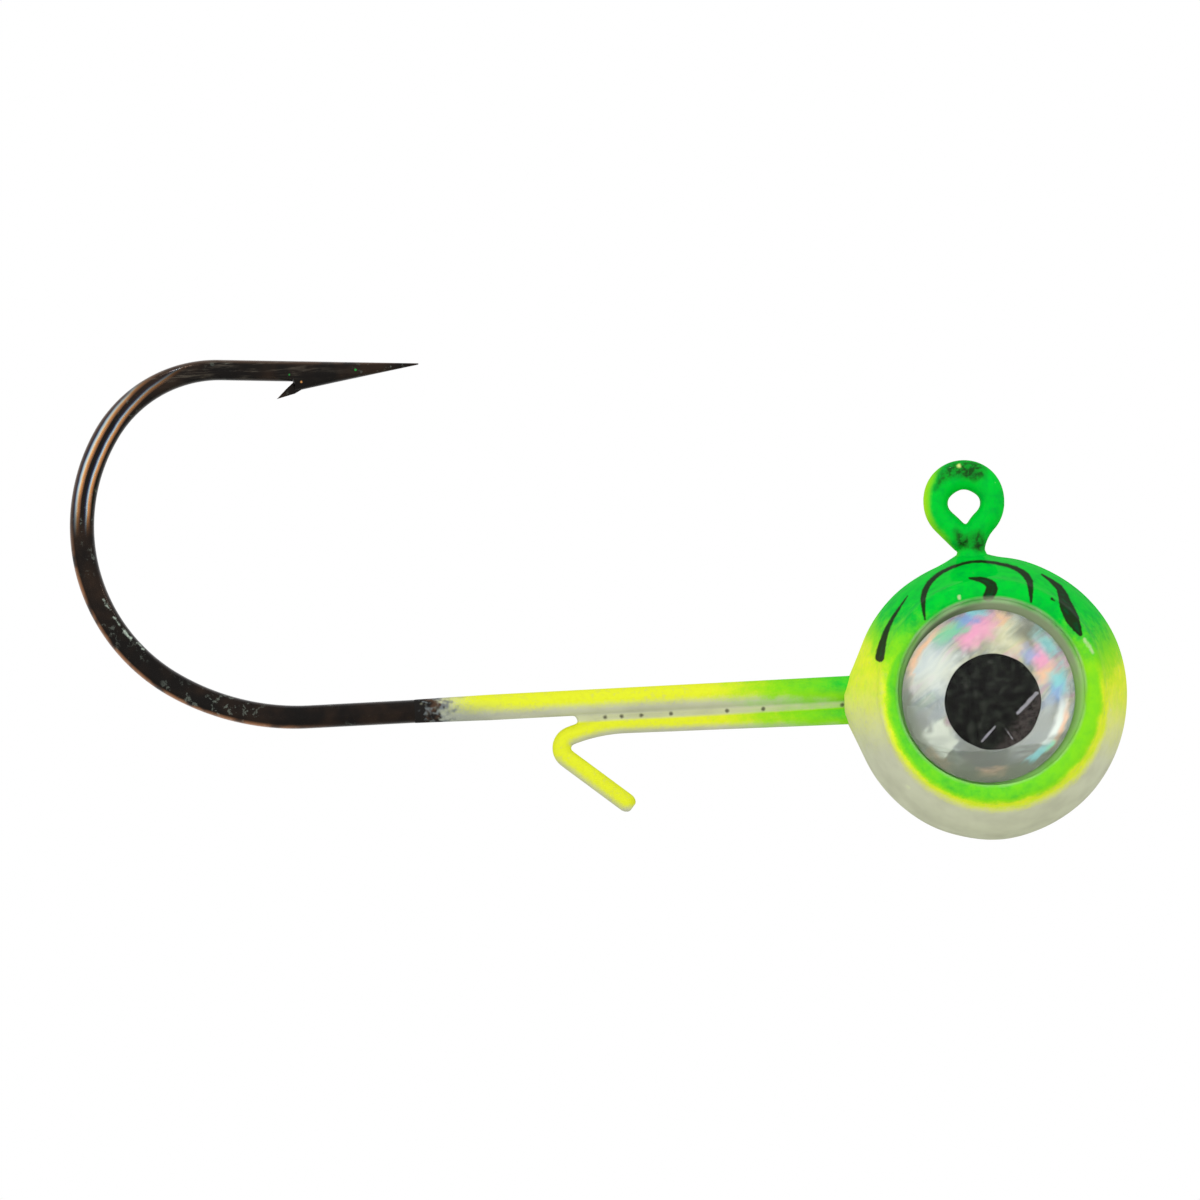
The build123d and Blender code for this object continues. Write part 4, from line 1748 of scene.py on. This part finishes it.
# ------------------------------------------------------------------------------------- the eyes
@dataclass
class Eye:
    """One sticker eye: foil on an adhesive pad, a printed pupil and a clear dome."""

    side: Side
    dome_edge: float = 0.12
    edge_round: float = 0.05
    crinkle: float = 0.012
    ragged: float = 0.012

    def __post_init__(self) -> None:
        """Reads the eye's places from the frame."""
        self.word = self.side.name.lower()
        self.middle, self.radius, self.base, self.top = self.disc("dome")
        _, _, self.foil_base, self.foil_top = self.disc("foil")
        self.pupil_middle, self.pupil_r, _, self.pupil_top = self.disc("pupil")

    def disc(self, part: str) -> tuple[Spot, float, float, float]:
        """A CAD disc's middle and radius, and how far its two faces lie from the seam's plane."""
        low, high = node_box(f"{self.word}_eye_{part}")
        middle = ((low[0] + high[0]) / 2, (low[2] + high[2]) / 2)
        return middle, (high[0] - low[0]) / 2, *sorted((abs(low[1]), abs(high[1])))

    def turned(self, middle: Spot, profile: Sequence[Spot], sides: int) -> Shape:
        """A form turned about the eye's axis, with its heights measured from the seam's plane."""
        axis = Vector((0, self.side.value, 0))
        return revolved(in_plane(middle), axis, np.array(profile), sides)

    def foil(self) -> Shape:
        """The foil disc, pressed into shallow facets by its crushed backing."""
        thick = self.foil_top - self.foil_base
        rings = [(HUB, self.foil_top)]
        rings += [(self.radius * share, self.foil_top) for share in np.linspace(0.04, 0.985, 44)]
        rings += [(self.radius, self.foil_top - thick * 0.2), (self.radius, self.foil_base)]
        shape = self.turned(self.middle, [(HUB, self.foil_base), *rings[::-1]], 180)
        for point in shape.points:
            if abs(abs(point[1]) - self.foil_top) < 0.001:
                spot = Vector((point[0], 0.0, point[2]))
                dent = self.crinkle * (0.5 + 0.5 * noise.noise(spot * 1.1))
                point[1] -= self.side.value * dent
        return shape

    def dome(self) -> Shape:
        """The clear cap with its short straight edge, rounded where they meet."""
        rise = self.top - self.base - self.dome_edge
        cap_r = (self.radius**2 + rise**2) / (2 * rise)
        shoulder = self.base + self.dome_edge
        profile = [(HUB, self.base), (self.radius - 0.03, self.base)]
        profile += [(self.radius, self.base + 0.03), (self.radius, shoulder - self.edge_round)]
        tilt = math.asin(self.radius / cap_r)
        inner = tilt * 0.985
        corner = (cap_r * math.sin(inner), self.top - cap_r + cap_r * math.cos(inner))
        start, knee, end = np.array([profile[-1], (self.radius, shoulder), corner])
        for share in (0.25, 0.5, 0.75):
            rest = 1 - share
            profile.append(tuple(rest**2 * start + 2 * share * rest * knee + share**2 * end))
        start, end = 90.0 - math.degrees(inner), 90.0 - math.degrees(0.01)
        profile += arc(cap_r, (0.0, self.top - cap_r), start, end, 40)
        return self.turned(self.middle, profile, 180)

    def pupil(self) -> Shape:
        """The printed disc, its edge a little uneven as screen ink is."""
        shape = self.turned(
            self.pupil_middle,
            [(HUB, self.base), (self.pupil_r, self.base), (self.pupil_r, self.pupil_top - 0.005)]
            + [(self.pupil_r * share, self.pupil_top) for share in (0.99, 0.8, 0.5, 0.2, 0.01)],
            160,
        )
        middle = np.array(in_plane(self.pupil_middle))
        for point in shape.points:
            way = point - middle
            way[1] = 0.0
            outer = smooth_step(np.linalg.norm(way), 0.5, 1.2)
            ragged = 1.0 + self.ragged * noise.noise(Vector(way) * 2.4) * outer
            point[0], point[2] = middle[0] + way[0] * ragged, middle[2] + way[2] * ragged
        return shape

    def build(
        self,
        foil: bpy.types.Material,
        ink: bpy.types.Material,
        resin: bpy.types.Material,
        pad: bpy.types.Material,
    ) -> None:
        """Makes the eye's pieces.

        Args:
            foil: the foil's material.
            ink: the pupil's material.
            resin: the dome's material.
            pad: the adhesive pad's material.
        """
        for shape, name, finish, slot in (
            (self.foil(), "eye_foil", foil, "holographic_foil"),
            (self.pupil(), "eye_pupil", ink, "pupil_ink"),
            (self.dome(), "eye_dome", resin, "clear_epoxy"),
        ):
            piece = stored(f"{self.word}_{name}_look", shape.mesh(name, MM), finish)
            placed(piece, slot, f"{self.word}_{name}")
        dressed(f"{self.word}_eye_pad", pad)


# ------------------------------------------------------------------------------------- the studio
@dataclass
class Lamp:
    """One lamp: which way it lies from the object, its size, power, and whether gloss shows it."""

    name: str
    azimuth: float
    elevation: float
    width: float
    height: float
    power: float
    mirrored: bool = True
    distance: float = 260.0


@dataclass
class Studio:
    """Pale floor, white background, soft lamps and the camera."""

    roll: float = 3.0
    margin: float = 1.1454
    aside: float = 0.06
    floor_gap: float = 2.5
    floor_size: float = 900.0
    fill: float = 0.74
    lamps: tuple[Lamp, ...] = (
        Lamp("key", -30.0, 52.0, 120.0, 90.0, 0.11, False),
        Lamp("front", 0.0, 6.0, 240.0, 44.0, 0.16, False),
        Lamp("upper_glint", -63.0, 72.0, 6.0, 6.0, 0.06),
        Lamp("side_glint", 81.0, 25.0, 6.0, 6.0, 0.04),
    )

    def build(self, paper: bpy.types.Material) -> None:
        """Sets the scene up round the object.

        Args:
            paper: the floor's material.
        """
        low, high = (np.array(corner) / MM for corner in cad_box)
        self.middle = (low + high) / 2
        self.span = high[0] - low[0]
        self.lay_floor(low[2] - self.floor_gap, paper)
        self.light_world()
        for lamp in self.lamps:
            self.hang(lamp)
        self.set_camera()
        bpy.context.scene.view_settings.view_transform = "Standard"

    def lay_floor(self, level: float, paper: bpy.types.Material) -> None:
        """Puts the floor just under the object."""
        half = self.floor_size / 2
        ways = ((-half, -half), (half, -half), (half, half), (-half, half))
        corners = [(x, y, level) for x, y in ways]
        data = Shape(np.array(corners), [(0, 1, 2, 3)]).mesh("floor", MM)
        stored("floor", data, paper)

    def light_world(self) -> None:
        """A white background, over an even fill."""
        world = bpy.data.worlds.new("studio")
        bpy.context.scene.world = world
        world.use_nodes = True
        world.node_tree.nodes.clear()
        bench = Bench(world.node_tree)
        path = bench.add("LightPath")
        seen = bench.most(path.outputs["Is Camera Ray"], path.outputs["Is Glossy Ray"])
        seen = bench.most(seen, path.outputs["Is Transmission Ray"])
        feeds = {"Color": WHITE, "Strength": bench.between(seen, self.fill, 1.0)}
        bench.add("OutputWorld", {"Surface": bench.read("Background", feeds)})

    def hang(self, lamp: Lamp) -> None:
        """Hangs one lamp and points it at the object."""
        data = bpy.data.lights.new(lamp.name, "AREA")
        data.shape, data.energy = "RECTANGLE", lamp.power
        data.size, data.size_y = lamp.width * MM, lamp.height * MM
        turn, lift = math.radians(lamp.azimuth), math.radians(lamp.elevation)
        level = math.cos(lift)
        way = Vector((math.sin(turn) * level, -math.cos(turn) * level, math.sin(lift)))
        light = bpy.data.objects.new(lamp.name, data)
        light.location = (Vector(self.middle) + way * lamp.distance) * MM
        light.rotation_mode = "QUATERNION"
        light.rotation_quaternion = way.to_track_quat("Z", "Y")
        light.visible_glossy = lamp.mirrored
        bpy.context.scene.collection.objects.link(light)
        log.info("lamp %s", lamp.name)

    def set_camera(self) -> None:
        """Looks at the fish's right side, with the camera rolled a little."""
        data = bpy.data.cameras.new("camera")
        data.type = "ORTHO"
        data.ortho_scale = self.span * self.margin * MM
        camera = bpy.data.objects.new("camera", data)
        bpy.context.scene.collection.objects.link(camera)
        camera.location = Vector((self.middle[0] + self.aside, -300.0, self.middle[2])) * MM
        camera.rotation_euler = (math.radians(90.0), math.radians(self.roll), 0.0)
        data.clip_start, data.clip_end = 0.01, 2.0
        bpy.context.scene.camera = camera


# ------------------------------------------------------------------------------------- main
STRIPES = (
    Stroke(((-1.81, 2.48, 0.03), (-1.84, 3.10, 0.09), (-1.64, 3.56, 0.085), (-1.20, 3.90, 0.065),
            (-0.59, 4.11, 0.05), (0.01, 4.15, 0.05), (0.78, 3.98, 0.06), (1.19, 3.77, 0.09),
            (1.42, 3.46, 0.11), (1.43, 2.84, 0.04))),
    Stroke(((-0.40, 3.66, 0.04), (-0.06, 3.60, 0.09), (0.20, 3.46, 0.15), (0.26, 3.30, 0.19),
            (0.14, 3.08, 0.17))),
    Stroke(((1.80, 3.66, 0.03), (2.31, 3.22, 0.11), (2.47, 2.70, 0.20), (2.66, 2.24, 0.21),
            (2.86, 1.80, 0.08))),
    Stroke(((2.06, 2.90, 0.05), (2.14, 2.84, 0.02))),
    Stroke(((-2.30, 3.22, 0.02), (-2.77, 2.60, 0.06), (-3.04, 2.10, 0.09), (-3.20, 1.60, 0.14),
            (-3.24, 1.40, 0.14))),
)
SMUDGES = (
    Stroke(((-0.84, 0.44, 0.01), (-0.60, 0.80, 0.12), (-0.30, 1.00, 0.20), (0.08, 1.04, 0.24),
            (0.44, 0.98, 0.22), (0.60, 0.82, 0.10))),
    Stroke(((0.06, 0.84, 0.10), (0.36, 0.78, 0.14))),
    Stroke(((-0.24, -0.86, 0.08), (-0.14, -1.18, 0.19))),
    Stroke(((0.02, -1.14, 0.10), (0.36, -1.06, 0.18), (0.42, -1.34, 0.16))),
    Stroke(((-0.10, -1.30, 0.05), (0.36, -1.36, 0.08))),
)
# the first two are painted highlights on the rim's crest; the others are nicks
CHIPS_AND_GLINTS = (
    Stroke(((-0.74, 3.06, 0.03), (-0.74, 3.13, 0.03))),
    Stroke(((2.98, 1.62, 0.035), (3.10, 1.44, 0.04), (3.22, 1.22, 0.03))),
    Stroke(((-2.62, -2.52, 0.02), (-2.56, -2.60, 0.02))),
    Stroke(((3.62, -0.50, 0.02), (3.66, -0.56, 0.02))),
)
BEND_MARKS = (
    Stroke(((-26.22, -1.58, 0.015), (-26.02, -1.90, 0.03))),
    Stroke(((-25.92, -2.10, 0.005), (-25.74, -2.38, 0.015))),
    Stroke(((-25.66, -2.50, 0.02), (-25.44, -2.80, 0.04))),
    Stroke(((-25.22, -2.96, 0.02), (-25.04, -3.13, 0.01))),
)
# two green specks of overspray, and a painted gold glint at the barb's root
OVERSPRAY_AND_GLINT = (
    (-20.22, 4.94, 0.02, Paint.GREEN_DEEP),
    (-18.20, 4.98, 0.03, Paint.GREEN_DEEP),
    (-19.86, 4.70, 0.02, Paint.GOLD_REFLECTION),
)
SCRATCHES = (
    Stroke(((0.71, -0.36, 0.05), (1.28, 0.18, 0.06))),
    Stroke(((-0.37, -1.12, 0.04), (0.02, -0.72, 0.025))),
    Stroke(((0.32, -0.80, 0.01), (0.52, -1.12, 0.02))),
)
# colours of the painted reflections along the hook's bend, across the wire
REFLECTION_BANDS = (
    (0.00, Paint.NICKEL), (0.16, Paint.NICKEL), (0.23, Paint.ORANGE_BROWN),
    (0.29, Paint.GOLD_REFLECTION), (0.34, Paint.ICE_REFLECTION), (0.40, Paint.NAVY_REFLECTION),
    (0.46, Paint.NICKEL), (0.58, Paint.NICKEL), (0.65, Paint.ORANGE_BROWN),
    (0.70, Paint.GOLD_REFLECTION), (0.75, Paint.CREAM_REFLECTION), (0.79, Paint.ICE_REFLECTION),
    (0.85, Paint.NAVY_REFLECTION), (0.92, Paint.NICKEL),
)
RAINBOW = (
    (0.00, Paint.FOIL_CYAN), (0.18, Paint.FOIL_BRIGHT), (0.32, Paint.FOIL_PINK),
    (0.44, Paint.FOIL_CREAM), (0.56, Paint.FOIL), (0.68, Paint.FOIL_BRIGHT),
    (0.80, Paint.FOIL_BLUE), (0.90, Paint.FOIL_MINT), (1.00, Paint.FOIL_PEACH),
)
FOIL_PATCHES = (
    Patch(268.0, 2.0, 36.0, 1.0, Paint.FOIL_DARK, 0.9),
    Patch(246.0, 2.2, 10.0, 0.2, Paint.FOIL_RIM_SHADE, 0.6),
    Patch(288.0, 2.25, 12.0, 0.14, Paint.FOIL_RIM_SHADE, 0.6),
    Patch(318.0, 1.9, 24.0, 0.9, Paint.FOIL, 0.6),
    Patch(185.0, 2.0, 16.0, 0.9, Paint.FOIL, 0.5),
    Patch(150.0, 1.9, 22.0, 0.7, Paint.FOIL_BRIGHT, 0.7),
    Patch(66.0, 1.9, 18.0, 0.5, Paint.FOIL_CREAM, 0.6),
    Patch(94.0, 2.1, 12.0, 0.4, Paint.FOIL_PINK, 0.8),
    Patch(108.0, 1.75, 9.0, 0.25, Paint.FOIL_PINK, 0.65),
    Patch(118.0, 2.25, 10.0, 0.2, Paint.FOIL_MINT, 0.9),
    Patch(104.0, 2.4, 8.0, 0.16, Paint.FOIL_BLUE, 0.9),
    Patch(94.0, 2.5, 6.0, 0.1, Paint.FOIL_CYAN, 0.8),
    Patch(77.0, 2.3, 4.0, 0.2, Paint.FOIL_PEACH, 0.7),
    Patch(144.0, 2.45, 18.0, 0.1, Paint.FOIL_PEACH, 0.9),
    Patch(56.0, 2.25, 9.0, 0.35, Paint.FOIL_DARK, 0.75),
    Patch(198.0, 2.25, 12.0, 0.3, Paint.FOIL_DARK, 0.6),
    Patch(33.0, 1.9, 10.0, 0.24, Paint.FOIL_PINK, 0.85),
    Patch(18.0, 1.8, 6.0, 0.26, Paint.FOIL_PEACH, 0.85),
    Patch(44.0, 1.72, 6.0, 0.2, Paint.FOIL_BLUE, 0.6),
    Patch(38.0, 2.35, 10.0, 0.2, Paint.FOIL_CYAN, 0.7),
    Patch(8.0, 2.1, 8.0, 0.24, Paint.FOIL_CYAN, 0.85),
    Patch(358.0, 2.0, 6.0, 0.2, Paint.FOIL_BLUE, 0.7),
    # painted reflections of the dome: a white and a peach streak low on the right
    Patch(336.0, 2.25, 17.0, 0.12, Paint.FOIL_BRIGHT, 0.95),
    Patch(334.0, 2.4, 15.0, 0.06, Paint.FOIL_PEACH, 0.8),
    Patch(270.0, 2.3, 9.0, 0.13, Paint.FOIL_PEACH, 0.55),
    # painted reflection of a window in the dome, low on the left
    Patch(219.0, 1.96, 13.0, 0.42, Paint.FOIL_WINDOW_REFLECTION, 0.95, 0.2),
    Patch(228.0, 2.42, 8.0, 0.12, Paint.FOIL_PEACH, 0.7),
)
RIM_PATCHES = (
    Patch(309.0, 2.28, 8.0, 0.08, Paint.FOIL_CYAN, 0.65),
    Patch(318.0, 2.36, 4.0, 0.06, Paint.FOIL_MINT, 0.65),
)
PINHOLES = (-11.2, -10.7, -10.1, -9.2, -7.5, -6.4, -4.0)


def main() -> None:
    """Builds every piece in order, and the studio."""
    logging.basicConfig(level=logging.INFO, format="%(name)s %(message)s")
    hook, keeper, head, coat = Hook(), BaitKeeper(), Head(), WireCoat()
    nickel = BlackNickel(
        "black_nickel", bend=hook.bend_centre, marks=BEND_MARKS, overspray=OVERSPRAY_AND_GLINT
    )
    hook.build(nickel.make())
    ball = (float(head.centre[0]), float(head.centre[2]))
    socket = (float(head.socket[0]), float(head.socket[2]))
    head_enamel = HeadEnamel(
        "head_enamel",
        ball=ball,
        socket=socket,
        bore_r=head.bore_r - head.film,
        strokes=STRIPES,
        chips=CHIPS_AND_GLINTS,
    )
    lead = Mottled("lead", metallic=0.9, roughness=0.6, lumps=0.8)
    head.build(head_enamel.make(), lead.make())
    wire_enamel = WireEnamel(
        "wire_enamel",
        roughness=0.28,
        shank_z=hook.shank_z,
        web_z=hook.shank_z - 0.48,
        head_back=float(head.centre[0] - head.skin_r),
        fade_x=coat.fade_x,
        web_end=coat.web_end,
        pinholes=PINHOLES,
        smudges=SMUDGES,
    ).make()
    coat.build(hook, keeper, head, wire_enamel)
    resin = ClearEpoxy("clear_epoxy").make()
    adhesive = Mottled(
        "eye_adhesive", Paint.ADHESIVE, Paint.PRIMER, roughness=0.7, lumps=3.0, depth=0.01
    )
    pad = adhesive.make()
    for side, turned in ((Side.RIGHT, 0.0), (Side.LEFT, 130.0)):
        eye = Eye(side)
        foil = Foil(f"{eye.word}_foil", eye.middle, turned, FOIL_PATCHES, RIM_PATCHES)
        ink = PupilInk(f"{eye.word}_pupil_ink", eye.pupil_middle, SCRATCHES)
        eye.build(foil.make(), ink.make(), resin, pad)
    steel = Mottled(
        "keeper_steel", Paint.KEEPER_STEEL, Paint.LEAD, metallic=1.0, roughness=0.3, lumps=2.0
    )
    keeper.build(hook, steel.make())
    paper = Mottled(
        "floor_paper", Paint.PAPER, Paint.PAPER, roughness=0.8, lumps=0.05, depth=0.0
    )
    Studio().build(paper.make())


if __name__ == "__main__":
    main()
